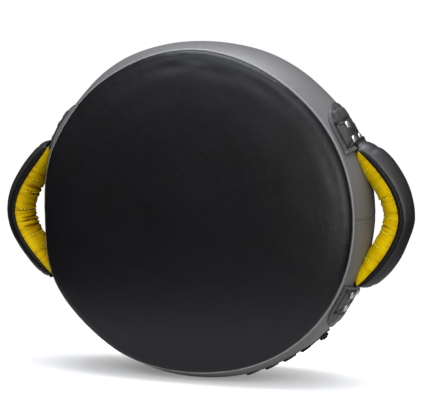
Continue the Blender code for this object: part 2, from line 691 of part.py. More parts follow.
def make_patch(name, side, level, material, frame, cutters):
    """Leather patch that steps up over the strap end beneath it."""
    shares = (0.0, 0.1, 0.34, 0.57, 0.81, 0.92, 0.985)
    strap_share = STRAP_END_LENGTH / PATCH_LENGTH
    strap_edge = STRAP_HALF_WIDTH + 0.5 * MM
    outer, inner = [], []
    for share in shares:
        width = patch_width(share)
        offsets = [width, min(0.78 * PATCH_HALF_WIDTH, 0.9 * width), min(strap_edge + PATCH_STEP, 0.8 * width),
                   min(strap_edge, 0.65 * width), min(strap_edge / 3, 0.2 * width)]
        rows = [-off for off in offsets] + list(reversed(offsets))
        angle = patch_angle(side, level, share * PATCH_LENGTH)
        lift = STRAP_LIFT if share == 0.0 else 0.0
        heights = []
        for off in rows:
            over_strap = share <= strap_share + 0.03 and abs(off) <= strap_edge + 1e-6
            heights.append(lift + (PATCH_RAISE if over_strap else PATCH_SEAT))
        inner.append([skin_point(angle, HANDLE_SHIFT + off, -up) for off, up in zip(rows, heights)])
        outer.append([skin_point(angle, HANDLE_SHIFT + off, -up - PATCH_LEATHER) for off, up in zip(rows, heights)])
    patch = add_object(name, panel(name, outer, inner), material, frame)
    cut(patch, cutters["rivets"])
    return patch


def spine(z):
    """Middle line of a handle, at the webbing strap: a point and the direction straight out of it."""
    share = abs(z) / HANDLE_HALF_LENGTH
    x = SPINE_REACH - SPINE_DROP * share ** SPINE_POWER
    slope = math.copysign(SPINE_DROP * SPINE_POWER / HANDLE_HALF_LENGTH * share ** (SPINE_POWER - 1), z)
    return Vector((x, 0.0, z)), Vector((1.0, 0.0, slope)).normalized()


def end_round(z, half_length=HANDLE_HALF_LENGTH):
    """Share of the full thickness that is left towards the handle's ends."""
    return math.sqrt(max(0.0, 1 - (abs(z) / half_length) ** END_ROUNDING))


def handle_point(side, z, out, across, clearance):
    """A point of a handle section, held clear of the side wall that the handle rests on."""
    middle, normal = spine(z)
    y = HANDLE_SHIFT + across
    limit = barrel_radius(y) + clearance
    while math.hypot(*(middle + normal * out).xz) < limit:
        out += 0.05 * MM
    place = middle + normal * out
    turn = Matrix.Rotation(-tilt(side), 3, "Y")
    return turn @ Vector((side * place.x, y, place.z))


def half_sizes(z):
    """Outer and inner thickness, half width and edge scale of a handle section."""
    full = end_round(z)
    outer = max(OUTER_PAD * end_round(z, SHELL_HALF_LENGTH), STRAP_THICKNESS / 2 + GAP + HANDLE_LEATHER)
    inner = max(INNER_PAD * full, STRAP_THICKNESS / 2 + GAP + GRIP_FABRIC)
    width = HANDLE_HALF_WIDTH * (0.9 + 0.1 * full)
    return outer, inner, width, max(full, 0.3)


def stations(half_length=HANDLE_HALF_LENGTH):
    places = [share * HANDLE_HALF_LENGTH for share in HANDLE_STATIONS]
    upper = [z for z in places if z < half_length - 1e-6] + [half_length]
    return [-z for z in reversed(upper)] + upper


def arc(first, last, count):
    return [math.radians(first + (last - first) * k / (count - 1)) for k in range(count)]


def shell_start(z):
    """Angle round the section, in degrees, at which the shell comes out of the rolled edge."""
    outer, _, _, edge = half_sizes(z)
    return math.degrees(math.asin(min(0.6, (EDGE_ROLL_RAISE + EDGE_ROLL_HEIGHT + GAP) * edge / outer)))


def grip_start(z):
    """Angle round the section, in degrees, at which the lining comes out of the rolled edge."""
    _, inner, _, edge = half_sizes(z)
    return math.degrees(math.asin(min(0.6, (EDGE_ROLL_HEIGHT - EDGE_ROLL_RAISE + GAP) * edge / inner)))


def make_handle_shell(name, side, material, frame):
    """Black leather over the outer half of the handle, open along both rolled edges; its ends lie on the patches."""
    ends = [HANDLE_HALF_LENGTH + share * SHELL_END_LENGTH for share in SHELL_END_STATIONS]
    rings = []
    for z in [-z for z in reversed(ends)] + stations() + ends:
        outer, _, width, edge = half_sizes(z)
        start = shell_start(z)
        lip = max(edge * (EDGE_ROLL_RAISE + EDGE_ROLL_HEIGHT), STRAP_THICKNESS / 2) + GAP
        rest = SHELL_REST if abs(z) > HANDLE_HALF_LENGTH - 1e-6 else 0.0
        over = rest + HANDLE_LEATHER if rest else 0.0
        turns = arc(start, 180 - start, 8)
        skin = [handle_point(side, z, outer * math.sin(a), width * math.cos(a), over) for a in turns]
        thin = outer - HANDLE_LEATHER
        narrow = width - HANDLE_LEATHER
        under = [handle_point(side, z, max(thin * math.sin(a), lip), narrow * math.cos(a), rest)
                 for a in arc(start, 180 - start, SHELL_UNDER_POINTS)]
        rings.append(skin + list(reversed(under)))
    return add_object(name, lofted(name, rings), material, frame)


def make_handle_grip(name, side, material, frame):
    """Yellow lining round the inner half of the handle, resting on the side wall at both ends."""
    rings = []
    for z in stations():
        _, inner, width, _ = half_sizes(z)
        start = grip_start(z)
        turns = arc(start, 180 - start, 9)
        skin = [handle_point(side, z, -inner * math.sin(a), width * math.cos(a), REST_GAP) for a in turns]
        thin = inner - GRIP_FABRIC
        narrow = width - GRIP_FABRIC
        under = [handle_point(side, z, min(-thin * math.sin(a), -STRAP_THICKNESS / 2 - GAP), narrow * math.cos(a),
                              REST_GAP + GRIP_FABRIC) for a in arc(start, 180 - start, GRIP_UNDER_POINTS)]
        rings.append(skin + list(reversed(under)))
    return add_object(name, lofted(name, rings), material, frame)


def make_handle_edge(name, side, edge_side, material, frame):
    """Rolled leather edge where the black shell and the yellow lining are sewn together."""
    rings = []
    for z in stations():
        _, _, width, edge = half_sizes(z)
        ring = []
        for a in arc(30, 330, 6):
            out = edge * (EDGE_ROLL_RAISE + EDGE_ROLL_HEIGHT * math.cos(a))
            across = width - 1.0 * MM + EDGE_ROLL_WIDTH * math.sin(a) * (0.5 + 0.5 * edge)
            ring.append(handle_point(side, z, out, edge_side * across, REST_GAP))
        rings.append(ring)
    return add_object(name, lofted(name, rings), material, frame)


def make_handle_padding(name, side, outward, material, frame):
    """Half of the handle's foam, flat against the strap; outward is 1 for the outer half, -1 for the inner."""
    rings = []
    flat = STRAP_THICKNESS / 2 + GAP
    for z in stations(PADDING_HALF_LENGTH):
        outer, inner, width, _ = half_sizes(z)
        if outward > 0:
            start, count, clearance = shell_start(z), SHELL_UNDER_POINTS, 0.0
            height, reach = outer - HANDLE_LEATHER - PADDING_CLEARANCE, width - HANDLE_LEATHER - PADDING_CLEARANCE
        else:
            start, count, clearance = grip_start(z), GRIP_UNDER_POINTS, PADDING_REST
            height, reach = inner - GRIP_FABRIC - INNER_CLEARANCE, width - GRIP_FABRIC - INNER_CLEARANCE
        half = width - 2 * EDGE_ROLL_WIDTH
        ring = [handle_point(side, z, outward * flat, half, 0.0)]
        for a in arc(start, 180 - start, count):
            up = max(height * math.sin(a), flat + 1.0 * MM)
            across = min(max(reach * math.cos(a), -half), half)
            ring.append(handle_point(side, z, outward * up, across, clearance))
        ring.append(handle_point(side, z, outward * flat, -half, 0.0))
        rings.append(ring)
    return add_object(name, lofted(name, rings), material, frame)


def make_handle_strap(name, side, material, frame, cutters):
    """Webbing that runs through the handle and lies flat on the side wall under both patches."""
    offsets = [share * STRAP_HALF_WIDTH for share in (-1, -1 / 3, 1 / 3, 1)]
    ends = [(0.0, STRAP_LIFT)] + [(share * STRAP_END_LENGTH, 0.0) for share in (0.13, 0.35, 0.6, 0.8, 1.0)]
    top, under = [], []
    for along, lift in reversed(ends):
        angle = patch_angle(side, -1, along)
        under.append([skin_point(angle, HANDLE_SHIFT + off, -lift - STRAP_SEAT) for off in offsets])
        top.append([skin_point(angle, HANDLE_SHIFT + off, -lift - STRAP_TOP) for off in offsets])
    for z in stations():
        half = STRAP_THICKNESS / 2
        under.append([handle_point(side, z, -half, off, 0.0) for off in offsets])
        top.append([handle_point(side, z, half, off, 0.0) for off in offsets])
    for along, lift in ends:
        angle = patch_angle(side, 1, along)
        under.append([skin_point(angle, HANDLE_SHIFT + off, -lift - STRAP_SEAT) for off in offsets])
        top.append([skin_point(angle, HANDLE_SHIFT + off, -lift - STRAP_TOP) for off in offsets])
    strap = add_object(name, panel(name, top, under), material, frame)
    cut(strap, cutters["rivets"])
    return strap


def make_drum(materials, frame, cutters):
    black, grey, foam = materials["black_leather"], materials["grey_leather"], materials["foam"]
    make_round_panel("strike_face", face_outline(), -1, black, frame)
    make_round_panel("back_panel", back_outline(), 1, black, frame)
    make_piping("front_piping", -1, materials["grey_piping"], frame)
    make_piping("rear_piping", 1, materials["grey_piping"], frame)
    make_upper_wall(grey, frame, cutters)
    make_lower_wall(grey, frame, cutters)
    make_end_foam("front_foam", face_outline(), -1, foam, frame)
    make_end_foam("rear_foam", back_outline(), 1, foam, frame)
    make_core_foam(foam, frame)
    make_closure_flap(grey, frame)
    make_lace(materials["black_lace"], frame)


def make_handle(prefix, side, materials, frame, cutters):
    black, foam = materials["black_leather"], materials["foam"]
    make_handle_shell(f"{prefix}_handle_shell", side, black, frame)
    make_handle_grip(f"{prefix}_handle_grip", side, materials["yellow_fabric"], frame)
    make_handle_edge(f"{prefix}_handle_front_edge", side, -1, black, frame)
    make_handle_edge(f"{prefix}_handle_rear_edge", side, 1, black, frame)
    make_handle_padding(f"{prefix}_handle_outer_padding", side, 1, foam, frame)
    make_handle_padding(f"{prefix}_handle_inner_padding", side, -1, foam, frame)
    make_handle_strap(f"{prefix}_handle_strap", side, materials["black_webbing"], frame, cutters)


def main():
    clear_scene()
    materials = make_materials()
    frame = bpy.data.objects.new("shield_middle", None)
    frame.location = (0.0, MIDDLE_Y, STAND_HEIGHT)
    bpy.context.collection.objects.link(frame)
    cutters = {"rivets": make_rivet_hole_cutter(frame), "lace": make_lace_hole_cutter(frame)}
    make_drum(materials, frame, cutters)
    for prefix, side in (("right", 1), ("left", -1)):
        make_handle(prefix, side, materials, frame, cutters)
    for name, side, level in corners():
        make_patch(f"{name}_patch", side, level, materials["black_leather"], frame, cutters)
    make_rivets(materials["nickel"], frame)


main()
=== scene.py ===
"""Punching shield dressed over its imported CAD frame.

The script is laid out as an add-on: the sizes and finishes are properties, and one operator makes each
piece or group of like pieces. Lengths are in metres; X runs to the right of the striking face, Y from the
face to the back.
"""

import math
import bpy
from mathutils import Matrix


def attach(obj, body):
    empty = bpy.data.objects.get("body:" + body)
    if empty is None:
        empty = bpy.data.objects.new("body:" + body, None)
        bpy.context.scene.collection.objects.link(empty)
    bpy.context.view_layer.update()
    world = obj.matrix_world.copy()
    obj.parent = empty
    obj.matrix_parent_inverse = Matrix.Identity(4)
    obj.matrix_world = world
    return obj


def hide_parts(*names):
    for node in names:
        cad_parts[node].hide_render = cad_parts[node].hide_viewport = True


bl_info = {
    "name": "Punching shield",
    "version": (1, 0, 0),
    "blender": (4, 5, 0),
    "location": "3D View > Sidebar > Shield",
    "description": "Dresses a punching shield's CAD frame in leather, stitches, lace and rivets",
    "category": "Object",
}

import bmesh
import bpy
import numpy as np
from bpy.props import FloatProperty, FloatVectorProperty, IntProperty, PointerProperty
from mathutils import Matrix, Vector, noise

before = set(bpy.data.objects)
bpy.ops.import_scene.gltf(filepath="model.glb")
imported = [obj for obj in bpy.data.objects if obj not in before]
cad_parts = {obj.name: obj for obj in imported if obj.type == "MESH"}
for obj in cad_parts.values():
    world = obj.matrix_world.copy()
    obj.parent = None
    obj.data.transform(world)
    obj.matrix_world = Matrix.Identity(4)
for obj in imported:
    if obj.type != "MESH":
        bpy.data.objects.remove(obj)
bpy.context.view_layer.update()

MM = 0.001
# Points closer than this are one point
DOUBLES = 1e-6

# Facts of the CAD part that the dressed pieces share with it
MIDDLE = np.array((0.0, 4.75 * MM, 260.5 * MM))
GIRTH_RADIUS = 264 * MM
LEATHER = 1.6 * MM
SEAM_ALLOWANCE = 8.0 * MM
FLANGE_OFFSET = 1.0 * MM
PIPING_TONGUE = 1.4 * MM
HEM_LENGTH = 10.0 * MM
SEAM_GAP = 0.3 * MM
CLOSURE_Y = -4.0 * MM
CLOSURE_EDGE = 12.0 * MM
SLIT_HALF = 2.5 * MM
LACE_PRESS = 3.3 * MM
PRESS_FADE = 6.0 * MM
LACE_DEEP = 5.7 * MM
LACE_PROUD = 1.7 * MM
LACE_START = math.radians(-48.9)
LACE_PITCH = math.radians(7.0)
LACE_SLANT = math.radians(4.1)
LACE_SHARPEST = math.radians(74)
TAIL_HOLE = math.radians(-41.0)
KNOT_TURNS = 17 / 6
HANDLE_SHIFT = -12.0 * MM
PATCH_START = math.radians(22.8)
STRAP_HALF_WIDTH = 22.0 * MM
STRAP_END_LENGTH = 60.0 * MM
STRAP_HALF_THICKNESS = 0.9 * MM
STRAP_SEAT = 0.4 * MM
STRAP_TOP = 2.2 * MM
STRAP_LIFT = 1.6 * MM
PATCH_SEAT = 0.5 * MM
PATCH_RAISE = 2.5 * MM
REST_GAP = 0.5 * MM
TILTS = {1: math.radians(0.4), -1: math.radians(1.3)}

# Sizes, angles and places that only the dressed pieces have
CLOSURE_ANGLES = (math.radians(-144.0), math.radians(-45.0))
KNOT_ANGLE = math.radians(-44.05)
KNOT_LIFT = 2.6 * MM
KNOT_STRAND = 1.66 * MM
KNOT_SWELL = 1.5 * MM
KNOT_STEP = 2.0 * MM
KNOT_START = 2 * math.pi / 3
KNOT_END = math.radians(-49.5)
FIRST_BAR = math.radians(-50.5)
HOLE_SIDES = 14
PUNCH_LENGTH = 24 * MM
LIP_ROLL = 4.2 * MM
LIP_GROOVE = 9.8 * MM
HEM_STITCHES = 10.6 * MM
PATCH_TOP = 7.0 * MM
PATCH_STITCHES = (4.2 * MM, 7.2 * MM)
BINDING_INSET = 0.8 * MM
BINDING_RADIUS = 1.35 * MM
LEFT_PATCH_FRONT = 0.5
RIVET_SINK = 0.5 * MM
END_THICKNESS = 1.2 * MM
EDGE_GROOVE = math.radians(62)
BUTT_STITCHES = 3.6 * MM
FOAM_REST = 3.0 * MM
CORE_REST = 6.4 * MM
FLOOR_SOFTNESS = 0.4 * MM

# How finely the pieces are divided: along them, or along and across
PANEL_COLUMNS = 320
WALL_COLUMNS = 300
PIPING_COLUMNS = 400
LAYER_COLUMNS = 160
CORE_GRID = (240, 25)
LACE_POINTS = 1500
PATCH_GRID = (56, 57)
SHELL_GRID = (150, 42)
LINING_GRID = (300, 64)
EDGE_GRID = (220, 20)
STUFFING_GRID = (80, 22)
STRAP_GRID = (90, 9)

# Each soft lamp's place and size in metres, and its shade; and the point at which all of them aim
LAMPS = {
    "key": ((0.1, -2.35, 2.0), (3.0, 1.0), (0.88, 0.915, 1.0)),
    "top": ((0.0, -0.1, 2.6), (2.0, 2.0), (0.90, 0.93, 1.0)),
    "side": ((1.4, -2.1, 0.34), (1.4, 0.6), (1.0, 0.98, 0.95)),
}
LAMP_AIM = (0.0, 0.0, 0.26)
SENSOR_WIDTH = 36.0
FLOOR_HALF = 12.0

# Half lengths of the black shells, towards their upper and lower ends
SHELL_LENGTHS = {1: (109.5 * MM, 101.5 * MM), -1: (106 * MM, 104 * MM)}

# How the stuffed drum departs from a true barrel, in degrees round it and millimetres out
GIRTH_FORM = (
    (0, 3.1), (10, 3.4), (21, 3.4), (28, 2.8), (34, 3.0), (38, 3.4), (44, 1.0), (52, 1.9), (60, 1.1),
    (68, 0.9), (76, -1.7), (84, -2.5), (92, -2.0), (100, -0.9), (108, -0.4), (116, 2.4), (122, 1.9),
    (130, 0.0), (138, -3.6), (146, -2.2), (152, -1.6), (162, -4.0), (168, -8.0), (174, -12.0),
    (180, -14.0), (189, -12.0), (198, -2.2), (206, 2.8), (212, 3.2), (218, 1.0), (226, -0.8),
    (234, -1.4), (242, 0.0), (298, -0.4), (306, -0.2), (316, 2.8), (324, 3.2), (332, -0.6),
    (338, 2.0), (345, 2.6))
SEAM_FORM = (
    (0, 0.0), (132, 0.0), (140, -2.6), (151, -4.2), (162, -5.4), (170, -8.6), (180, -11.5),
    (188, -9.6), (198, -1.2), (206, 2.8), (212, 3.0), (218, 1.0), (226, -0.8), (234, -1.4), (244, 0.0))

# The seams' long waves: how many go round, their height in millimetres and phase in degrees
SEAM_WAVES = ((1, 0.9, 152), (2, 1.1, -6), (3, 1.6, -89), (4, 0.5, -75), (5, 1.1, 114), (7, 0.4, -120))

# Fuller front shoulders of the left side wall: place and breadth in degrees, rise in millimetres
LEFT_SHOULDERS = ((153, 11, 3.4), (199, 9, 1.6))

# Shallow hollows of the striking face: place round it in degrees; distance in from the seam, length along
# the seam, breadth and depth in millimetres
FACE_HOLLOWS = (
    (97, 22, 30, 7, 1.0), (88, 12, 22, 6, 0.9), (80, 26, 34, 9, 0.8), (60, 20, 45, 10, 0.7),
    (118, 24, 50, 12, 0.6), (20, 18, 40, 8, 0.5), (-35, 22, 50, 10, 0.6), (-120, 20, 60, 10, 0.6),
    (170, 26, 60, 14, 0.6))

# How each stuffed handle departs from its even curve, in millimetres: height on it, shift of the strap
# and change of the outer pad
HANDLE_FORM = {
    1: ((-110, 0.0, -0.5), (-95, 0.0, 0.0), (-80, 0.0, 1.0), (-65, 0.0, 1.2), (-50, 0.0, 0.8),
        (-30, 0.0, -1.2), (-10, 0.0, -0.4), (0, 0.0, 0.0), (20, 1.0, 0.8), (40, 2.2, 1.6),
        (50, 2.2, 2.6), (60, 1.8, 4.0), (75, 1.4, 4.2), (88, 0.6, 2.4), (100, 0.0, -1.5),
        (110, 0.0, -2.0)),
    -1: ((-110, 0.0, 0.0), (-90, -0.6, -1.5), (-60, 0.2, -2.4), (-40, 0.6, -2.2), (-22, 0.2, -2.0),
         (0, -1.8, -2.0), (40, -2.7, -1.5), (60, -4.4, -1.6), (85, -5.0, -2.4), (110, -2.0, -1.0)),
}

# Creases of the lining: height on the handle, breadth and depth in millimetres, slant and reach across
CREASES = {
    1: ((35.5, 1.5, 2.9, 0.06, 0.8), (31.0, 1.4, 2.4, -0.04, 0.62), (21.0, 1.6, 0.6, 0.03, 0.35),
        (11.0, 1.7, 0.7, -0.05, 0.4), (1.0, 1.5, 0.5, 0.04, 0.3), (-9.0, 1.6, 0.8, 0.05, 0.45),
        (-16.5, 1.6, 2.8, 0.1, 0.7), (-34.0, 2.4, 0.7, -0.1, 0.5), (63.0, 2.4, 0.8, 0.1, 0.6),
        (-77.0, 2.2, 0.9, -0.1, 0.7), (86.0, 2.0, 1.0, 0.1, 0.8)),
    -1: ((44.0, 1.6, 2.4, 0.05, 0.85), (34.5, 1.5, 2.3, 0.09, 0.75), (24.0, 1.8, 1.0, -0.05, 0.4),
         (12.0, 1.7, 1.0, 0.05, 0.4), (0.6, 1.5, 2.3, 0.02, 1.2), (-8.0, 1.6, 1.2, -0.05, 0.4),
         (-16.5, 1.6, 2.4, 0.08, 0.7), (-25.4, 1.5, 2.8, 0.1, 0.8), (-33.5, 1.5, 2.8, 0.04, 0.8),
         (-48.0, 2.2, 0.8, -0.06, 0.5), (-77.0, 2.0, 1.9, 0.1, 0.6), (66.0, 2.4, 1.0, 0.1, 0.7)),
}

# Heights on the handle, in millimetres, at which the lining is quilted to its padding
QUILT_ROWS = (79.0, 56.0, 36.0, 4.0, -24.0, -48.0, -71.0)

SIDES = (("right", 1), ("left", -1))
LEVELS = (("upper", 1), ("lower", -1))
ENDS = (("front", -1), ("rear", 1))


def length(description, size):
    """A length; its usual size is given in millimetres."""
    return FloatProperty(description=description, default=size * MM, unit="LENGTH", precision=4)


def number(description, default):
    return FloatProperty(description=description, default=default)


def colour(description, default):
    return FloatVectorProperty(description=description, default=default, subtype="COLOR", min=0.0, max=1.0)


def spot(description, default):
    return FloatVectorProperty(description=description, default=default, subtype="TRANSLATION")


class DrumSizes(bpy.types.PropertyGroup):
    """Sizes of the round leather cover."""

    seam_radius: length("Radius of the seam round the striking face", 245)
    half_depth: length("Half of the distance between the two round seams", 64)
    bulge: length("How far the side wall swells between the seams", 19)
    bulge_power: number("Fullness of the side wall's curve", 2.45)
    face_rise: length("Height of the striking face over its seam", 19.5)
    face_shoulder: length("Width of the striking face's rounded edge", 45)
    face_dome: length("Extra swell of the striking face's middle", 10.0)
    back_rise: length("Height of the back panel over its seam", 10)
    back_shoulder: length("Width of the back panel's rounded edge", 16)
    piping: length("Radius of the piping's bead", 2)
    standing: length("Height of the drum's middle over the floor", 260.5)
    slack: length("Unevenness of the stuffed leather", 0.7)
    pucker: length("Depth of the gathers beside a seam", 0.5)


class HandleSizes(bpy.types.PropertyGroup):
    """Sizes of the padded handles."""

    half_length: length("Half of the handle's height", 101)
    half_width: length("Half of the handle's width, front to back", 28)
    reach: length("Distance of the webbing strap from the drum's middle", 307)
    drop: length("How far the strap comes in from its middle to its ends", 59.5)
    spine_power: number("Fullness of the handle's curve", 1.7)
    outer_pad: length("Thickness outside the strap", 22.5)
    inner_pad: length("Thickness inside the strap", 23.5)
    end_rounding: number("How late the padding thins out", 10.0)
    shell_leather: length("Thickness of the black shell", 1.8)
    lining: length("Thickness of the yellow lining", 1.4)
    roll_height: length("Half of the rolled edge's height", 3.8)
    roll_width: length("Half of the rolled edge's width", 2.6)
    roll_raise: length("How far the rolled edge sits outside the strap", 4.0)
    roll_lean: length("How much further out the right handle's rolled edge sits than the left one's", 1.4)
    gather: length("Depth of the lining's fine gathers", 0.7)


class PatchSizes(bpy.types.PropertyGroup):
    """Sizes of the leather patches and their rivets."""

    reach: length("Length of a patch round the side wall", 76)
    half_width: length("Half of a patch's width", 44)
    leather: length("Thickness of a patch", 1.8)
    rivet_cap: length("Radius of a rivet's cap", 7.2)
    rivet_rise: length("Height of a rivet's dome", 3.0)
    rivet_pair: length("Distance between the two rivets near the handle", 30)
    pair_inset: length("Distance of the pair from the patch's near edge", 14)
    single_inset: length("Distance of the far rivet from the patch's near edge", 37)
    single_shift: length("How far the far rivet sits from the patch's middle", -12)


class LaceSizes(bpy.types.PropertyGroup):
    """Sizes of the laced closure."""

    radius: length("Half of the lace's thickness", 1.3)
    bar_radius: length("Half of the lace's thickness where it lies over the closure", 1.9)
    knot_radius: length("Half of the lace's thickness in its knot", 2.4)
    hole: length("Radius of a lace hole", 2.1)
    offset: length("Distance of the holes from the middle of the slit", 8)
    crossings: IntProperty(description="Number of bars", default=12, min=1)


class StitchSizes(bpy.types.PropertyGroup):
    """Sizes of the sewing thread's stitches."""

    pitch: length("Distance from stitch to stitch", 4.2)
    length: length("Length of a stitch", 3.3)
    thickness: length("Thickness of the thread", 0.75)


class Finishes(bpy.types.PropertyGroup):
    """Colours of the materials."""

    black: colour("Face and back", (0.0022, 0.0022, 0.0031))
    # The patches' dark grey sits well above the face's black: partly their own tone, partly painted sheen
    # standing in for their shine
    patch: colour("Patches at the handles' ends", (0.038, 0.037, 0.037))
    shell: colour("Outer side of the handles", (0.0095, 0.0095, 0.0100))
    binding: colour("Rolled edges of the handles", (0.0026, 0.0026, 0.0028))
    grey: colour("Side wall", (0.150, 0.147, 0.146))
    piping: colour("Cord round the seams", (0.26, 0.26, 0.26))
    yellow: colour("Inner side of the handles", (0.75, 0.515, 0.0006))
    thread_dark: colour("Seams of the side wall and patches", (0.005, 0.005, 0.005))
    thread_pale: colour("Quilting of the yellow lining", (0.70, 0.66, 0.03))
    nickel: colour("Rivets and burrs", (0.72, 0.71, 0.69))
    lace: colour("Closure lace", (0.008, 0.008, 0.008))
    foam: colour("Padding", (0.55, 0.53, 0.48))


class StageSettings(bpy.types.PropertyGroup):
    """Camera, floor and lamps."""

    camera: spot("Place of the camera", (0.55129, -1.85576, 0.53675))
    target: spot("Point that the camera looks at", (0.01014, 0.00774, 0.26083))
    lens: number("Focal length in millimetres", 107.35)
    key: number("Power of the wide lamp over the camera, in watts", 33.0)
    top: number("Power of the lamp overhead, in watts", 76.0)
    side: number("Power of the low lamp at the right, in watts", 18.0)
    world: number("Strength of the light from the brighter side of the room", 0.5)


GROUPS = {"drum": DrumSizes, "handle": HandleSizes, "patch": PatchSizes, "laces": LaceSizes,
          "stitch": StitchSizes, "finish": Finishes, "studio": StageSettings}


def settings(context):
    return context.scene.shield


class ShieldSettings(bpy.types.PropertyGroup):
    """All the shield's sizes and finishes."""

    drum: PointerProperty(type=DrumSizes)
    handle: PointerProperty(type=HandleSizes)
    patch: PointerProperty(type=PatchSizes)
    laces: PointerProperty(type=LaceSizes)
    stitch: PointerProperty(type=StitchSizes)
    finish: PointerProperty(type=Finishes)
    studio: PointerProperty(type=StageSettings)


# Materials


class Graph:
    """A node tree under construction: its nodes, made and joined in a few words."""

    def __init__(self, tree):
        self.tree = tree

    def add(self, kind, inputs=None, **facts):
        node = self.tree.nodes.new(kind)
        for key, value in facts.items():
            setattr(node, key, value)
        for key, value in (inputs or {}).items():
            self.feed(node.inputs[key], value)
        return node

    def feed(self, socket, value):
        if isinstance(value, bpy.types.NodeSocket):
            self.tree.links.new(value, socket)
        else:
            socket.default_value = value

    def between(self, value, low, high, out_low, out_high):
        """A value that goes from out_low to out_high as the given one goes from low to high."""
        facts = {"Value": value, "From Min": low, "From Max": high, "To Min": out_low, "To Max": out_high}
        return self.add("ShaderNodeMapRange", facts).outputs["Result"]


class Recipe(Graph):
    """A material under construction."""

    def __init__(self, name):
        self.material = bpy.data.materials.new(name)
        self.material.use_nodes = True
        super().__init__(self.material.node_tree)
        self.shader = self.tree.nodes["Principled BSDF"]
        self.place = self.add("ShaderNodeTexCoord").outputs["Object"]

    def noise(self, size, detail=3.0, rough=0.55, place=None):
        facts = {"Scale": 1 / size, "Detail": detail, "Roughness": rough, "Vector": place or self.place}
        return self.add("ShaderNodeTexNoise", facts).outputs["Fac"]

    def cells(self, size, place=None):
        facts = {"Scale": 1 / size, "Randomness": 1.0, "Vector": place or self.place}
        return self.add("ShaderNodeTexVoronoi", facts, feature="F1").outputs["Distance"]

    def wave(self, scale, distortion, direction):
        facts = {"Scale": scale, "Distortion": distortion, "Vector": self.place}
        return self.add("ShaderNodeTexWave", facts, bands_direction=direction).outputs["Fac"]

    def math(self, operation, first, second=0.0):
        return self.add("ShaderNodeMath", {0: first, 1: second}, operation=operation).outputs[0]

    def mix(self, share, first, second):
        return self.add("ShaderNodeMix", {0: share, 6: first, 7: second}, data_type="RGBA").outputs[2]

    def drift(self, cloud, shade, dark, pale, low=0.3, high=0.7):
        """A shade that drifts between a darker and a paler one as a cloud of noise goes from low to high."""
        return self.mix(self.between(cloud, low, high, 0.0, 1.0), rgba(shade, dark), rgba(shade, pale))

    def attribute(self, name):
        return self.add("ShaderNodeAttribute", attribute_name=name).outputs["Fac"]

    def bump(self, height, depth, below=None):
        node = self.add("ShaderNodeBump", {"Height": height, "Distance": depth, "Strength": 1.0})
        if below:
            self.feed(node.inputs["Normal"], below)
        return node.outputs["Normal"]

    def finish(self, **sockets):
        for key, value in sockets.items():
            self.feed(self.shader.inputs[key.replace("_", " ")], value)
        return self.material


def rgba(shade, level=1.0):
    return (*(min(1.0, part * level) for part in shade), 1.0)


def plain(level):
    """A neutral shade."""
    return (level, level, level, 1.0)


def leather(name, shade, rough, grain, grain_depth, gloss, mottle, worn):
    """Coated leather: pebbled grain, fine pores, an uneven sheen and paler wear where the mesh has it."""
    make = Recipe(name)
    warped = make.add("ShaderNodeVectorMath", {0: make.place}, operation="ADD")
    wander = make.add("ShaderNodeTexNoise", {"Scale": 90.0, "Detail": 2.0, "Vector": make.place})
    stirred = {0: wander.outputs["Color"], "Scale": 1.6 * MM}
    shift = make.add("ShaderNodeVectorMath", stirred, operation="SCALE")
    make.feed(warped.inputs[1], shift.outputs[0])
    pebbles = make.cells(grain, warped.outputs[0])
    pores = make.noise(0.35 * grain, detail=4.0, rough=0.6)
    cloud = make.noise(60 * MM)
    smudge = make.noise(22 * MM, detail=4.0, rough=0.65)
    tone = make.drift(cloud, shade, 1 - mottle, 1 + mottle)
    wear = make.math("MULTIPLY", make.attribute("wear"), make.between(smudge, 0.35, 0.65, 0.45, 1.0))
    tone = make.mix(wear, tone, rgba(shade, worn))
    height = make.math("ADD", make.between(pebbles, 0.0, 0.75, 1.0, 0.0), make.math("MULTIPLY", pores, 0.45))
    soft = make.bump(make.noise(16 * MM, detail=2.0), 5 * grain_depth)
    normal = make.bump(height, grain_depth, soft)
    even = make.between(smudge, 0.3, 0.7, rough - 0.02, rough + 0.03)
    sheen = make.math("ADD", even, make.math("MULTIPLY", pebbles, 0.05))
    return make.finish(Base_Color=tone, Roughness=sheen, Normal=normal, Specular_IOR_Level=gloss)


def lining_fabric(name, shade):
    """Soft coated lining with a very fine weave, with painted shade in a deeper tone where the mesh marks
    it: in its folds, creases and sewn edges and over its middle.
    """
    make = Recipe(name)
    weave = make.math("MULTIPLY", make.wave(520.0, 0.4, "Z"), make.wave(520.0, 0.4, "Y"))
    cloud = make.noise(25 * MM, detail=4.0)
    # Painted shade: a deeper orange where the mesh marks the lining as lying in shade
    painted_shade_tone = (0.30, 0.14, 0.001, 1.0)
    tone = make.mix(make.attribute("fold"), make.drift(cloud, shade, 0.9, 1.08), painted_shade_tone)
    normal = make.bump(weave, 0.05 * MM, make.bump(make.noise(6 * MM), 0.35 * MM))
    rough = make.between(cloud, 0.3, 0.7, 0.5, 0.6)
    return make.finish(Base_Color=tone, Roughness=rough, Normal=normal, Specular_IOR_Level=0.05)


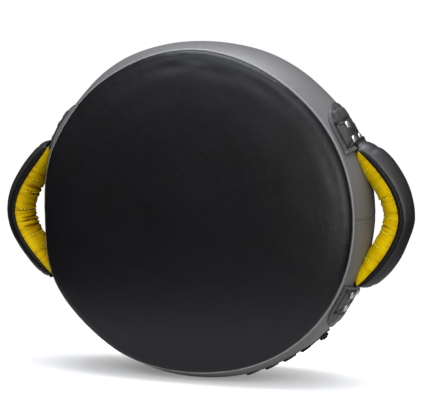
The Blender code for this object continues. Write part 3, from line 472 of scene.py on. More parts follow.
def braided(name, shade, rough, strands, pitch):
    """Round braid: two families of strands that cross, read from the piece's own UV map in metres."""
    make = Recipe(name)
    own = make.add("ShaderNodeUVMap", uv_map="UVMap").outputs["UV"]
    parts = make.add("ShaderNodeSeparateXYZ", {0: own})
    turn = make.math("MULTIPLY", parts.outputs["X"], strands * 2 * math.pi)
    run = make.math("MULTIPLY", parts.outputs["Y"], 2 * math.pi / pitch)
    first = make.math("SINE", make.math("ADD", turn, run))
    second = make.math("SINE", make.math("SUBTRACT", turn, run))
    height = make.math("MAXIMUM", first, second)
    fuzz = make.noise(0.5 * MM)
    # Paler on the strands' crests and darker in the grooves between them: painted highlight and painted
    # shade
    tone = make.drift(height, shade, 0.4, 1.7, -0.5, 1.0)
    normal = make.bump(make.math("ADD", height, make.math("MULTIPLY", fuzz, 0.4)), 0.16 * MM)
    uneven = make.between(fuzz, 0.3, 0.7, rough - 0.08, rough + 0.08)
    return make.finish(Base_Color=tone, Roughness=uneven, Normal=normal, Specular_IOR_Level=0.3)


def thread(name, shade):
    """Twisted sewing thread."""
    make = Recipe(name)
    twist = make.wave(420.0, 1.5, "DIAGONAL")
    # Paler and darker bands in step with the twist's bump: painted highlight on the plies and painted shade
    # between them
    tone = make.mix(twist, rgba(shade, 0.75), rgba(shade, 1.25))
    return make.finish(Base_Color=tone, Roughness=make.between(twist, 0.0, 1.0, 0.55, 0.7),
                       Normal=make.bump(twist, 0.08 * MM), Specular_IOR_Level=0.15)


def polished(name, shade):
    """Nickel plate with faint scratches and dulled patches."""
    make = Recipe(name)
    stretch = make.add("ShaderNodeMapping", {"Vector": make.place, "Scale": (1.0, 6.0, 1.0)}).outputs[0]
    scratches = make.noise(0.9 * MM, detail=5.0, rough=0.7, place=stretch)
    dull = make.noise(4 * MM)
    tone = make.drift(dull, shade, 1.0, 0.82, 0.35, 0.7)
    rough = make.math("ADD", make.between(dull, 0.3, 0.7, 0.3, 0.4), make.math("MULTIPLY", scratches, 0.06))
    normal = make.bump(scratches, 0.015 * MM)
    return make.finish(Base_Color=tone, Metallic=1.0, Roughness=rough, Normal=normal)


def foamed(name, shade):
    """Open cell foam, a little yellowed."""
    make = Recipe(name)
    bubbles = make.cells(1.3 * MM)
    cloud = make.noise(45 * MM)
    tone = make.drift(cloud, shade, 0.85, 1.1)
    # Darker in the hollow of each cell: painted shade
    tone = make.mix(make.between(bubbles, 0.0, 0.35, 0.5, 0.0), tone, rgba(shade, 0.45))
    return make.finish(Base_Color=tone, Roughness=make.between(cloud, 0.3, 0.7, 0.85, 0.95),
                       Normal=make.bump(bubbles, 0.5 * MM), Specular_IOR_Level=0.2)


def webbing(name):
    """Woven strap: ribs across and along, in black yarn."""
    make = Recipe(name)
    weave = make.math("MULTIPLY", make.wave(260.0, 0.3, "Z"), make.wave(340.0, 0.3, "Y"))
    # Paler on the ribs and darker between them, in step with the bump: painted highlight and painted shade
    tone = make.mix(weave, plain(0.006), (0.03, 0.03, 0.032, 1.0))
    return make.finish(Base_Color=tone, Roughness=make.between(weave, 0.0, 1.0, 0.7, 0.85),
                       Normal=make.bump(weave, 0.25 * MM), Specular_IOR_Level=0.3)


MATERIALS = {}


def make_materials(finish):
    """Every finish of the shield, kept by the name of its material slot or use."""
    hides = {
        "face": ("face_leather", finish.black, 0.34, 1.1, 0.06, 0.37, 0.25, 2.2),
        "black_leather": ("black_leather", finish.patch, 0.38, 1.4, 0.2, 0.9, 0.4, 2.4),
        "shell": ("shell_leather", finish.shell, 0.42, 1.0, 0.07, 0.85, 0.25, 3.0),
        "binding": ("binding_leather", finish.binding, 0.5, 1.3, 0.12, 0.22, 0.25, 4.0),
        "grey_leather": ("grey_leather", finish.grey, 0.4, 1.2, 0.03, 0.5, 0.03, 1.3),
        "grey_piping": ("grey_piping", finish.piping, 0.34, 0.8, 0.05, 0.5, 0.08, 1.2),
    }
    for key, (name, shade, rough, grain, depth, gloss, mottle, worn) in hides.items():
        MATERIALS[key] = leather(name, shade, rough, grain * MM, depth * MM, gloss, mottle, worn)
    MATERIALS.update({
        "yellow_fabric": lining_fabric("yellow_lining", finish.yellow),
        "black_lace": braided("black_lace", finish.lace, 0.62, 4, 2.6 * MM),
        "black_webbing": webbing("black_webbing"),
        "nickel": polished("nickel", finish.nickel),
        "foam": foamed("foam", finish.foam),
        "dark_thread": thread("dark_thread", finish.thread_dark),
        "pale_thread": thread("pale_thread", finish.thread_pale),
    })


# Meshes


def unevenness(points, size, seed=0.0):
    """Smooth noise from -1 to 1 at points; its lumps have the given size, and the seed picks the noise."""
    flat = np.asarray(points).reshape(-1, 3) / size + seed
    values = [noise.noise(point) for point in flat.tolist()]
    return np.array(values).reshape(np.shape(points)[:-1])


def smooth_step(low, high, value):
    """0 on the low side, 1 on the high side and an even rise between them; low may be the greater."""
    share = np.clip((np.asarray(value) - low) / (high - low), 0.0, 1.0)
    return share * share * (3 - 2 * share)


def ridge(value, middle, width):
    """A smooth ridge of height 1 over a middle value."""
    return np.exp(-((np.asarray(value) - middle) / width) ** 2)


def through(points, count):
    """A smooth curve through points, as that many points evenly spread along it."""
    points = np.asarray(points, float)
    padded = np.vstack([2 * points[0] - points[1], points, 2 * points[-1] - points[-2]])
    steps = 16
    share = (np.arange(steps) / steps)[:, None]
    route = []
    for a, b, c, d in zip(padded, padded[1:], padded[2:], padded[3:]):
        route.append(0.5 * (2 * b + (c - a) * share + (2 * a - 5 * b + 4 * c - d) * share ** 2
                            + (3 * b - a - 3 * c + d) * share ** 3))
    route = np.vstack(route + [points[-1:]])
    along = distances(route)
    wanted = np.linspace(0.0, along[-1], count)
    return np.stack([np.interp(wanted, along, route[:, k]) for k in range(points.shape[1])], axis=1)


def linked(name, mesh):
    """A new object of a mesh, in the scene."""
    item = bpy.data.objects.new(name, mesh)
    bpy.context.collection.objects.link(item)
    return item


def modified(item, modifier):
    """Give an object the mesh that its modifier makes, and take the modifier away."""
    bpy.context.view_layer.update()
    evaluated = item.evaluated_get(bpy.context.evaluated_depsgraph_get())
    mesh = bpy.data.meshes.new_from_object(evaluated)
    item.modifiers.remove(modifier)
    item.data = mesh


def add_mesh(name, points, faces, material, uvs=None, marks=None, sharp=50.0):
    """Make a piece whose place is in its mesh: doubles merged, faces outwards, shaded smooth."""
    mesh = bpy.data.meshes.new(name)
    mesh.from_pydata((np.asarray(points).reshape(-1, 3) + MIDDLE).tolist(), [], faces)
    if uvs is not None:
        layer = mesh.uv_layers.new(name="UVMap")
        corner = np.zeros(len(mesh.loops), np.int32)
        mesh.loops.foreach_get("vertex_index", corner)
        layer.data.foreach_set("uv", np.asarray(uvs).reshape(-1, 2)[corner].astype(np.float32).ravel())
    for key, values in (marks or {}).items():
        mark = mesh.attributes.new(key, "FLOAT", "POINT")
        mark.data.foreach_set("value", np.asarray(values, np.float32).ravel())
    builder = bmesh.new()
    builder.from_mesh(mesh)
    bmesh.ops.remove_doubles(builder, verts=builder.verts, dist=DOUBLES)
    bmesh.ops.recalc_face_normals(builder, faces=builder.faces)
    builder.to_mesh(mesh)
    builder.free()
    mesh.shade_smooth()
    mesh.set_sharp_from_angle(angle=math.radians(sharp))
    mesh.materials.append(MATERIALS[material])
    return linked(name, mesh)


def grid_faces(columns, rows, closed, keep=None, start=0, flip=False):
    """Faces of a grid of points, as vertex numbers; keep says which cells have one."""
    count = columns if closed else columns - 1
    i, j = np.meshgrid(np.arange(count), np.arange(rows - 1), indexing="ij")
    if keep is not None:
        i, j = i[keep], j[keep]
    here, after = i.ravel() * rows + j.ravel(), (i.ravel() + 1) % columns * rows + j.ravel()
    quads = np.stack([here, after, after + 1, here + 1], axis=1) + start
    return (quads[:, ::-1] if flip else quads).tolist()


def sheet_faces(columns, rows, closed, keep, pole):
    """Faces of a sheet that has a thickness: outer grid, inner grid and a wall along every open edge."""
    count = columns if closed else columns - 1
    keep = np.ones((count, rows - 1), bool) if keep is None else keep
    inner = columns * rows
    faces = grid_faces(columns, rows, closed, keep)
    faces += grid_faces(columns, rows, closed, keep, inner, flip=True)
    for i, j in np.argwhere(keep).tolist():
        here, after = i * rows + j, (i + 1) % columns * rows + j
        corners = (here, after, after + 1, here + 1)
        below = keep[i, j - 1] if j else False
        right = keep[(i + 1) % count, j] if i + 1 < count or closed else False
        above = keep[i, j + 1] if j + 2 < rows else pole
        left = keep[i - 1, j] if i or closed else False
        for a, b, joined in zip(corners, corners[1:] + corners[:1], (below, right, above, left)):
            if not joined:
                faces.append([b, a, a + inner, b + inner])
    return faces


def tube_faces(columns, rows):
    """Faces of a tube of rings of points, with a face over each end."""
    faces = [[i * rows + j, i * rows + (j + 1) % rows, (i + 1) * rows + (j + 1) % rows, (i + 1) * rows + j]
             for i in range(columns - 1) for j in range(rows)]
    return faces + [list(range(rows)), list(range((columns - 1) * rows, columns * rows))[::-1]]


def add_sheet(name, outer, inner, material, closed=False, keep=None, pole=False, marks=None):
    """A leather or fabric piece from its outer and inner grids of points."""
    columns, rows = outer.shape[:2]
    faces = sheet_faces(columns, rows, closed, keep, pole)
    doubled = {key: np.tile(values.ravel(), 2) for key, values in (marks or {}).items()}
    return add_mesh(name, np.stack([outer, inner]), faces, material, marks=doubled)


def turns_of(sides):
    """Angles of the corners of a section."""
    return 2 * math.pi * np.arange(sides) / sides


def full_turn(count):
    """Angles once round the drum, as a column."""
    return np.linspace(0, 2 * math.pi, count, endpoint=False)[:, None]


def towards_ends(count, part):
    """Places from -1 to 1, closer together towards both ends; the nearer part is to 1, the closer."""
    return np.sin(np.linspace(-0.5, 0.5, count) * math.pi * part) / math.sin(0.5 * part * math.pi)


def unit(vectors):
    """Vectors of the same directions and of length 1."""
    return vectors / np.linalg.norm(vectors, axis=-1)[..., None]


def spread(*parts):
    """Arrays of numbers in one shared shape."""
    return np.broadcast_arrays(*(np.asarray(part, float) for part in parts))


def stacked(*parts):
    """Points from their coordinates."""
    return np.stack(np.broadcast_arrays(*parts), axis=-1)


def polar(radius, angles, y):
    """Points at a radius and an angle round the drum's axis."""
    return stacked(radius * np.cos(angles), y, radius * np.sin(angles))


def tube_points(route, radii, sides, flat, up):
    """Rings of points round a route, without twist; flat is a ring's height over its width."""
    tangents = unit(np.gradient(route, axis=0))
    side = np.cross(tangents[0], up[0] if up is not None else (0.0, 1.0, 0.3))
    turns = turns_of(sides)[:, None]
    rings = []
    for k, (place, tangent) in enumerate(zip(route, tangents)):
        if up is not None:
            side = np.cross(tangent, up[k])
        side = side - tangent * side.dot(tangent)
        side /= np.linalg.norm(side)
        high = np.cross(side, tangent)
        rings.append(place + (side * np.cos(turns) + high * np.sin(turns) * flat) * radii[k])
    return np.array(rings)


def distances(route):
    """Distance of each point of a route from its start, along it."""
    return np.concatenate([[0.0], np.cumsum(np.linalg.norm(np.diff(route, axis=0), axis=1))])


def add_tube(name, route, radii, sides, material, flat=1.0, up=None):
    """A cord along a route, with its own UV map: once round, and metres along; up holds it upright."""
    rings = tube_points(route, radii, sides, flat, up)
    uvs = stacked(np.arange(sides)[None, :] / sides, distances(route)[:, None])
    return add_mesh(name, rings, tube_faces(len(rings), sides), material, uvs=uvs)


def settle(item, slot, *nodes, padded=None):
    """Hand a finished piece to the frame: it rides and replaces its nodes; its slot is not used."""
    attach(item, "root")
    if nodes:
        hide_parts(*nodes)


# The drum's form


def rounded(places, reach, table):
    """Value of a table at places, rounded off between its entries; reach is how far each value spreads."""
    where, values, period = table
    shares = [np.interp(places + reach * off, where, values, period=period) for off in (-1, -0.5, 0, 0.5, 1)]
    return sum(shares) / len(shares) * MM


def form_at(table, angle):
    """Value of a table of the drum's form at angles round it, in metres."""
    return rounded(np.degrees(angle), 5, (*zip(*table), 360))


def seam_wave(angle):
    """How the seams depart from a true circle, in metres, at an angle round the drum."""
    wave = sum(size * np.cos(times * angle - math.radians(phase)) for times, size, phase in SEAM_WAVES) * MM
    return wave + form_at(SEAM_FORM, angle)


def wall_wave(drum, angle, y):
    """How the side wall departs from a true barrel: like its seams beside them, by its own form between."""
    share = np.clip(np.abs(y) / drum.half_depth, 0.0, 1.0) ** 2
    turned = np.degrees(angle) % 360
    shoulder = sum(rise * MM * ridge(turned, place, breadth) for place, breadth, rise in LEFT_SHOULDERS)
    shoulder = shoulder * 4 * share * (1 - share) * smooth_step(0.0, -20 * MM, y)
    return seam_wave(angle) * share + form_at(GIRTH_FORM, angle) * (1 - share) + shoulder


def barrel_radius(drum, y):
    """Radius of the even barrel at a distance from its middle."""
    share = np.clip(np.abs(y) / drum.half_depth, 0.0, 1.0)
    return drum.seam_radius + drum.bulge * (1 - share ** drum.bulge_power)


def barrel_slope(drum, y):
    """How fast the even barrel's radius grows with the distance from its middle."""
    share = np.clip(np.abs(y) / drum.half_depth, 0.0, 1.0)
    return -np.sign(y) * drum.bulge * drum.bulge_power / drum.half_depth * share ** (drum.bulge_power - 1)


def press_at(y):
    """How far the closure is pressed in where the shield stands on it."""
    return LACE_PRESS * (1 - np.clip((np.abs(y - CLOSURE_Y) - CLOSURE_EDGE) / PRESS_FADE, 0.0, 1.0))


def standing(drum, radius, angles, y, depth=0.0, pressed=0.0):
    """Points round the drum's axis, held up where it stands on the floor."""
    points = polar(radius, angles, y)
    lowest = depth + pressed - drum.standing
    over = (points[..., 2] - lowest) / FLOOR_SOFTNESS
    above = np.maximum(over, 0.0)
    points[..., 2] = lowest + FLOOR_SOFTNESS * (above + np.log1p(np.exp(-np.abs(over))) * np.exp(-above))
    return points


def skin(drum, angle, y, depth=0.0, pressed=None):
    """Points under the side wall's outer face, at angles round the drum and distances from its middle."""
    angle, y, depth = spread(angle, y, depth)
    radius = barrel_radius(drum, y) + wall_wave(drum, angle, y) - depth
    return standing(drum, radius, angle, y, depth, press_at(y) if pressed is None else pressed)


def outward(drum, angle, y):
    """Unit vectors straight out of the side wall."""
    angle, y = spread(angle, y)
    return unit(stacked(np.cos(angle), -barrel_slope(drum, y), np.sin(angle)))


def panel_outline(drum, is_face):
    """Outline of a round panel from its seam allowance to its middle, as (radius, out from the seam)."""
    seam = drum.seam_radius
    if is_face:
        rise, shoulder, dome = drum.face_rise, drum.face_shoulder, drum.face_dome
        shape = ((0.9 * MM, 0.14), (0.9 * MM, 0.30), (-0.08 * shoulder, 0.50), (-0.31 * shoulder, 0.65),
                 (-shoulder, 0.82), (-0.45 * seam, 0.94))
    else:
        rise, shoulder, dome = drum.back_rise, drum.back_shoulder, 0.0
        shape = ((0.9 * MM, 0.28), (0.4 * MM, 0.55), (-0.28 * shoulder, 0.86), (-shoulder, 1.0),
                 (-0.5 * seam, 1.0))
    outline = [(seam + off, share * rise) for off, share in shape]
    outline = [(seam - 1.0 * MM, FLANGE_OFFSET), *outline, (0.0, rise)]
    return [(radius, out + dome * max(0.0, 1 - (radius / seam) ** 2)) for radius, out in outline]


def panel_sections(drum, is_face):
    """Outer and under side of a round panel, from its turned-in edge to its middle, finest at the seam."""
    fine = 240
    curve = through(panel_outline(drum, is_face), fine)
    share = np.concatenate([np.linspace(0, 0.16, 22), np.linspace(0.18, 1.0, 34)])
    curve = curve[np.interp(share, np.linspace(0, 1, fine), np.arange(fine)).astype(int)]
    slope = unit(np.gradient(curve, axis=0))
    under = curve - stacked(slope[:, 1], -slope[:, 0]) * LEATHER
    turned_in = drum.seam_radius - SEAM_ALLOWANCE
    curve = np.vstack([(turned_in, FLANGE_OFFSET), curve])
    under = np.vstack([(turned_in, FLANGE_OFFSET + LEATHER), under])
    under[1] = (drum.seam_radius - 2.0 * MM, FLANGE_OFFSET + LEATHER)
    under[-1, 0] = 0.0
    return curve, under


def face_hollows(drum, angles, from_seam):
    """Depth of the striking face's shallow hollows."""
    depth = 0.0
    for place, inset, long, broad, deep in FACE_HOLLOWS:
        turned = np.mod(angles - math.radians(place) + math.pi, 2 * math.pi) - math.pi
        across = ridge(from_seam, inset * MM, broad * MM)
        depth = depth + deep * MM * ridge(turned * drum.seam_radius, 0.0, long * MM) * across
    return depth


def round_panel(drum, name, is_face):
    """Striking face or back: a stuffed round panel with its edge turned in, puckered beside the seam."""
    side = -1 if is_face else 1
    curve, under = panel_sections(drum, is_face)
    angles = full_turn(PANEL_COLUMNS)
    from_seam = np.clip(drum.seam_radius - curve[:, 0], 0.0, None)[None, :]
    at_seam = smooth_step(0.8 * MM, 3.5 * MM, curve[:, 1])[None, :]
    rim = stacked(np.cos(angles), np.sin(angles), 0 * angles)
    pucker = drum.pucker * unevenness(rim, 0.035, 7.3) * at_seam * np.exp(-from_seam / (16 * MM))
    spots = polar(curve[:, 0], angles, 0 * angles)
    dents = drum.slack * (unevenness(spots, 0.11, 3.1) + 0.4 * unevenness(spots, 0.045, 9.7))
    dents = dents * smooth_step(4 * MM, 40 * MM, from_seam)
    if is_face:
        dents = dents - face_hollows(drum, angles, from_seam)
    wave = seam_wave(angles) * smooth_step(0.45 * drum.seam_radius, drum.seam_radius, curve[:, 0])[None, :]

    def grid(shape):
        out = shape[None, :, 1] + (dents + 0.6 * pucker)
        return standing(drum, shape[None, :, 0] + wave + pucker, angles, side * (drum.half_depth + out))

    wear = np.broadcast_to(0.35 * np.exp(-(from_seam / (5 * MM)) ** 2) * at_seam, pucker.shape)
    return add_sheet(name, grid(curve), grid(under), "face", closed=True, pole=True, marks={"wear": wear})


def wall_columns(first, last):
    """Angles of the side wall's columns between two butt seams, closer together at the hems."""
    seam = SEAM_GAP / 2 / GIRTH_RADIUS
    hem = HEM_LENGTH / GIRTH_RADIUS
    edge = [seam, seam + 0.04 * hem] + [share * hem for share in (0.2, 0.4, 0.6, 0.8, 1.0, 1.15, 1.4)]
    inside = np.linspace(first + 1.7 * hem, last - 1.7 * hem, WALL_COLUMNS)
    slit = [angle for angle in CLOSURE_ANGLES if first < angle < last]
    return np.unique(np.concatenate([[first + a for a in edge], [last - a for a in edge], inside, slit]))


def wall_rows(drum, lower):
    """Distances of the side wall's rows from its middle; the lower wall has its own beside the slit."""
    rows = 0.955 * drum.half_depth * towards_ends(31, 0.93)
    if lower:
        lip = (0.0, 0.7 * MM, 2.2 * MM, 4.5 * MM)
        offs = [SLIT_HALF + off for off in lip] + [9.5 * MM, CLOSURE_EDGE, 14.5 * MM]
        lips = [CLOSURE_Y + side * off for side in (-1, 1) for off in offs]
        rows = np.concatenate([rows[np.abs(rows - CLOSURE_Y) > 15.5 * MM], lips])
    return np.unique(np.round(rows, 7))


def wall_lips(a, y, spots):
    """The closure's two lips: their relief over the wall, where they are doubled, and their wear."""
    low, high = CLOSURE_ANGLES
    along = smooth_step(low - 0.03, low + 0.02, a) * smooth_step(high + 0.03, high - 0.02, a)
    lip = np.abs(y - CLOSURE_Y)
    hem = 0.5 * MM * smooth_step(12.5 * MM, 10.5 * MM, lip)
    roll = 0.5 * MM * ridge(lip, LIP_ROLL, 2 * MM)
    groove = 0.35 * MM * ridge(lip, LIP_GROOVE, 0.8 * MM)
    relief = along * (hem + roll - groove) * smooth_step(-255 * MM, -240 * MM, spots[..., 2])
    doubled = (a > low - 1e-3) & (a < high + 1e-3) & (lip <= CLOSURE_EDGE + DOUBLES)
    return relief, doubled, 0.3 * along * np.exp(-np.clip(lip - SLIT_HALF, 0, None) / (1.5 * MM))


def slit_cells(angles, rows):
    """Cells of the lower wall that are kept: all but the slit."""
    low, high = CLOSURE_ANGLES
    keep = np.ones((len(angles) - 1, len(rows) + 3), bool)
    inside = (angles[:-1] > low - DOUBLES) & (angles[1:] < high + DOUBLES)
    edge = SLIT_HALF + 0.1 * MM
    slit = np.flatnonzero((rows[:-1] > CLOSURE_Y - edge) & (rows[1:] < CLOSURE_Y + edge)) + 2
    keep[np.ix_(inside, slit)] = False
    return keep


def side_wall(drum, name, lower):
    """Half of the grey side wall: hems at its butt seams, gathers by the piping and, below, the slit."""
    first, last = (-math.pi, 0.0) if lower else (0.0, math.pi)
    angles = wall_columns(first, last)
    rows = wall_rows(drum, lower)
    a, y = angles[:, None], rows[None, :]
    from_seam = drum.half_depth - np.abs(y)
    from_butt = np.minimum(a - first, last - a) * GIRTH_RADIUS
    spots = skin(drum, a, y)
    out = drum.slack * 0.8 * unevenness(spots, 0.07, 5.2) * smooth_step(4 * MM, 30 * MM, from_seam)
    folds = unevenness(spots * (1.0, 0.12, 1.0), 0.0085, 1.7)
    gathers = 1.1 * drum.pucker * folds * np.exp(-from_seam / (9 * MM))
    out = out + gathers * smooth_step(2 * MM, 5 * MM, from_seam)
    hem = 0.25 * MM * smooth_step(HEM_LENGTH + 6 * MM, HEM_LENGTH - 4 * MM, from_butt)
    out = out + hem - 0.9 * MM * np.exp(-from_butt / (0.7 * MM))
    out = out - 0.3 * MM * ridge(from_butt, BUTT_STITCHES, 1.0 * MM)
    thick = np.where(from_butt <= HEM_LENGTH, 2 * LEATHER, LEATHER) + 0 * y
    wear = 0.25 * np.exp(-from_butt / (2 * MM)) + 0 * y
    if lower:
        relief, doubled, worn = wall_lips(a, y, spots)
        out = out + relief
        thick = np.where(doubled, 2 * LEATHER, thick)
        wear = wear + worn
    normal = outward(drum, a, y)
    outer = spots + normal * out[..., None]
    outer[..., 2] = np.maximum(outer[..., 2], -drum.standing)
    inner = spots + normal * (np.minimum(out, 0.0) - thick)[..., None]
    wave = seam_wave(angles)

    def with_flanges(points, bend, place):
        """The points with both turned-in edges, as flat rings at a distance from the middle."""
        rings = [polar(drum.seam_radius - inset + wave, angles, side * place)[:, None, :]
                 for side, inset in ((-1, SEAM_ALLOWANCE), (-1, bend), (1, bend), (1, SEAM_ALLOWANCE))]
        return np.concatenate([*rings[:2], points, *rings[2:]], axis=1)

    flange = drum.half_depth - FLANGE_OFFSET
    outer = with_flanges(outer, 1 * MM, flange)
    inner = with_flanges(inner, 1.8 * MM, flange - LEATHER)
    wear = np.pad(wear, ((0, 0), (2, 2)))
    keep = slit_cells(angles, rows) if lower else None
    return add_sheet(name, outer, inner, "grey_leather", keep=keep, marks={"wear": wear})


def piping(drum, name, side):
    """Leather cord with its tongue, as one ring, a little uneven and with a small overlap at the bottom."""
    angles = full_turn(PIPING_COLUMNS)
    bead = np.radians(np.linspace(152, -152, 13))
    radius = np.concatenate([[-SEAM_ALLOWANCE], drum.piping * (1 + np.cos(bead)), [-SEAM_ALLOWANCE]])
    along = np.concatenate([[PIPING_TONGUE / 2], drum.piping * np.sin(bead), [-PIPING_TONGUE / 2]])
    rim = stacked(np.cos(angles), np.sin(angles), 0 * angles)
    overlap = 1.53 * math.pi
    swell = 1 + 0.05 * unevenness(rim, 0.03, 4.4) + 0.1 * ridge(angles, overlap, 0.012)
    reach = drum.seam_radius + seam_wave(angles) + np.where(radius > 0, radius * swell, radius)
    points = standing(drum, reach, angles, side * drum.half_depth + along)
    columns, rows = points.shape[:2]
    faces = grid_faces(columns, rows, closed=True)
    starts = [(i * rows, (i + 1) % columns * rows) for i in range(columns)]
    faces += [[here + rows - 1, after + rows - 1, after, here] for here, after in starts]
    return add_mesh(name, points, faces, "grey_piping")


# Stitches, made by Geometry Nodes along lines that carry the direction out of the leather


def stitch_tree():
    """Tree that sews along a mesh's lines: one rounded stitch at each step, flat in the leather's plane."""
    tree = bpy.data.node_groups.new("sew_along_lines", "GeometryNodeTree")
    wanted = (("Lines", "Geometry", None), ("Stitch pitch", "Float", 4.2 * MM),
              ("Stitch length", "Float", 3.3 * MM), ("Thread thickness", "Float", 0.75 * MM),
              ("Seed", "Int", 3), ("Thread", "Material", None))
    for name, kind, value in wanted:
        socket = tree.interface.new_socket(name, in_out="INPUT", socket_type="NodeSocket" + kind)
        if value is not None:
            socket.default_value = value
    tree.interface.new_socket("Stitches", in_out="OUTPUT", socket_type="NodeSocketGeometry")
    make = Graph(tree)
    given, made = make.add("NodeGroupInput").outputs, make.add("NodeGroupOutput")
    curve = make.add("GeometryNodeMeshToCurve", {"Mesh": given["Lines"]})
    steps = make.add("GeometryNodeResampleCurve",
                     {"Curve": curve.outputs[0], "Length": given["Stitch pitch"]}, mode="LENGTH")
    bead = make.add("GeometryNodeMeshUVSphere", {"Segments": 8, "Rings": 5, "Radius": 0.5})
    thick = given["Thread thickness"]
    size = make.add("ShaderNodeCombineXYZ", {0: given["Stitch length"], 1: thick, 2: thick})
    shaped = make.add("GeometryNodeTransform", {"Geometry": bead.outputs[0], "Scale": size.outputs[0]})
    smooth = make.add("GeometryNodeSetShadeSmooth", {0: shaped.outputs[0]})
    tangent = make.add("GeometryNodeInputTangent")
    out = make.add("GeometryNodeInputNamedAttribute", {"Name": "out"}, data_type="FLOAT_VECTOR")
    upright = make.add("FunctionNodeAlignRotationToVector", {"Vector": out.outputs[0]}, axis="Z")
    facts = {"Rotation": upright.outputs[0], "Vector": tangent.outputs[0]}
    facing = make.add("FunctionNodeAlignRotationToVector", facts, axis="X", pivot_axis="Z")
    facts = {"Min": (0.88, 0.9, 0.85), "Max": (1.08, 1.1, 1.1), "Seed": given["Seed"]}
    vary = make.add("FunctionNodeRandomValue", facts, data_type="FLOAT_VECTOR")
    facts = {"Points": steps, "Instance": smooth, "Rotation": facing, "Scale": vary}
    place = make.add("GeometryNodeInstanceOnPoints", {key: node.outputs[0] for key, node in facts.items()})
    real = make.add("GeometryNodeRealizeInstances", {0: place.outputs[0]})
    dyed = make.add("GeometryNodeSetMaterial", {"Geometry": real.outputs[0], "Material": given["Thread"]})
    make.feed(made.inputs[0], dyed.outputs[0])
    return tree


def sew(stitch, name, lines, material, pitch=None, length=None, thickness=None):
    """Sew along lines; each is a pair of arrays: its points, and the directions out of the leather."""
    points, edges, outs = [], [], []
    for route, out in lines:
        start = len(points)
        points += (np.asarray(route) + MIDDLE).tolist()
        outs += np.asarray(out).tolist()
        edges += [(start + k, start + k + 1) for k in range(len(route) - 1)]
    mesh = bpy.data.meshes.new(name + "_lines")
    mesh.from_pydata(points, edges, [])
    mark = mesh.attributes.new("out", "FLOAT_VECTOR", "POINT")
    mark.data.foreach_set("vector", np.asarray(outs, np.float32).ravel())
    item = linked(name, mesh)
    modifier = item.modifiers.new("sewing", "NODES")
    modifier.node_group = bpy.data.node_groups.get("sew_along_lines") or stitch_tree()
    wanted = {"Stitch pitch": pitch or stitch.pitch, "Stitch length": length or stitch.length,
              "Thread thickness": thickness or stitch.thickness, "Thread": MATERIALS[material]}
    for socket in modifier.node_group.interface.items_tree:
        if socket.name in wanted:
            modifier[socket.identifier] = wanted[socket.name]
    modified(item, modifier)
    bpy.data.meshes.remove(mesh)
    if not len(item.data.polygons):
        raise RuntimeError(f"no stitches were made for {name}")
    return item


def wall_line(drum, angles, ys, lift):
    """Line on the side wall, a little over its leather, with its outward directions."""
    angles, ys = spread(angles, ys)
    out = outward(drum, angles, ys)
    return skin(drum, angles, ys) + out * lift, out


# Lace


def softened(points):
    """Cut each corner of a route that is sharper than the lace can bend."""
    smooth = [points[0]]
    for before, corner, after in zip(points, points[1:], points[2:]):
        if (corner - before).angle(after - corner) > LACE_SHARPEST:
            smooth += [corner.lerp(before, 0.3), corner.lerp(after, 0.3)]
        else:
            smooth.append(corner)
    return smooth + [points[-1]]


def knot_winding():
    """Strangle knot along its own axis: the lace runs in, winds back round itself and runs out again."""
    strand = KNOT_STRAND
    reach = KNOT_TURNS * KNOT_STEP
    count = round(KNOT_TURNS * 10)
    winding = []
    for k in range(count + 1):
        turn = KNOT_START + 2 * math.pi * KNOT_TURNS * k / count
        away = 1 - 2 * k / count
        wide = (strand + KNOT_SWELL) * math.sqrt(1 - 0.6 * away ** 2)
        winding.append((reach * away, wide * math.cos(turn), wide * math.sin(turn)))
    lead = [(-reach - 5 * MM, -strand, -2.0 * MM), (-reach - 2 * MM, -strand, -1.8 * MM),
            (0.0, -strand, 0.0), (reach - 1 * MM, -0.5 * strand, 0.0)]
    leave = [(1 * MM - reach, 0.5 * strand, 0.0), (0.0, strand, 0.0), (reach + 1 * MM, strand, -1.0 * MM),
             (reach + 5 * MM, strand, -1.6 * MM)]
    return lead + winding + leave


def lace_route(drum, laces):
    """Route of the lace: tail hole, knot, then slanted bars, with a hidden run under the lips after each."""
    def at(angle, off, depth):
        """Point on the closure; the bars stand a little prouder where the shield doesn't rest on them."""
        if depth < 0 and angle < LACE_START:
            depth -= 0.3 * MM * smooth_step(0.12, 0.3, abs(angle + math.pi / 2))
        return Vector(skin(drum, angle, CLOSURE_Y + off, depth, press_at(CLOSURE_Y + off)))

    tail = ((-1.2, LACE_DEEP), (-0.2, 3 * MM), (0.0, 0.5 * MM), (-0.3, -1.2 * MM))
    points = [at(TAIL_HOLE + math.radians(degrees), 0, depth) for degrees, depth in tail]
    for along, across, up in knot_winding():
        points.append(at(KNOT_ANGLE - along / GIRTH_RADIUS, across, -(KNOT_LIFT + up)))
    over, under, hole = -LACE_PROUD, LACE_DEEP, laces.offset
    bend = 1.1 * MM
    bar = ((0.0, hole, LEATHER), (0.07, hole - bend, over + 0.15 * MM),
           (0.27, 0.56 * hole, over - 0.15 * MM), (0.5, 0.0, over - 0.2 * MM),
           (0.73, -0.56 * hole, over - 0.15 * MM), (0.93, bend - hole, over + 0.15 * MM),
           (1.0, -hole, LEATHER))
    run = ((0.09, bend - hole, under - 0.1 * MM), (0.5, 0.0, under), (0.91, hole - bend, under - 0.1 * MM))
    for k in range(laces.crossings):
        angle = LACE_START - k * LACE_PITCH
        for share, off, depth in bar[2:] if k == 0 else bar:
            points.append(at(angle - share * LACE_SLANT, off, depth))
        for share, off, depth in run[:2] if k == laces.crossings - 1 else run:
            points.append(at(angle - LACE_SLANT - share * (LACE_PITCH - LACE_SLANT), off, depth))
    return through([tuple(point) for point in softened(points)], LACE_POINTS)


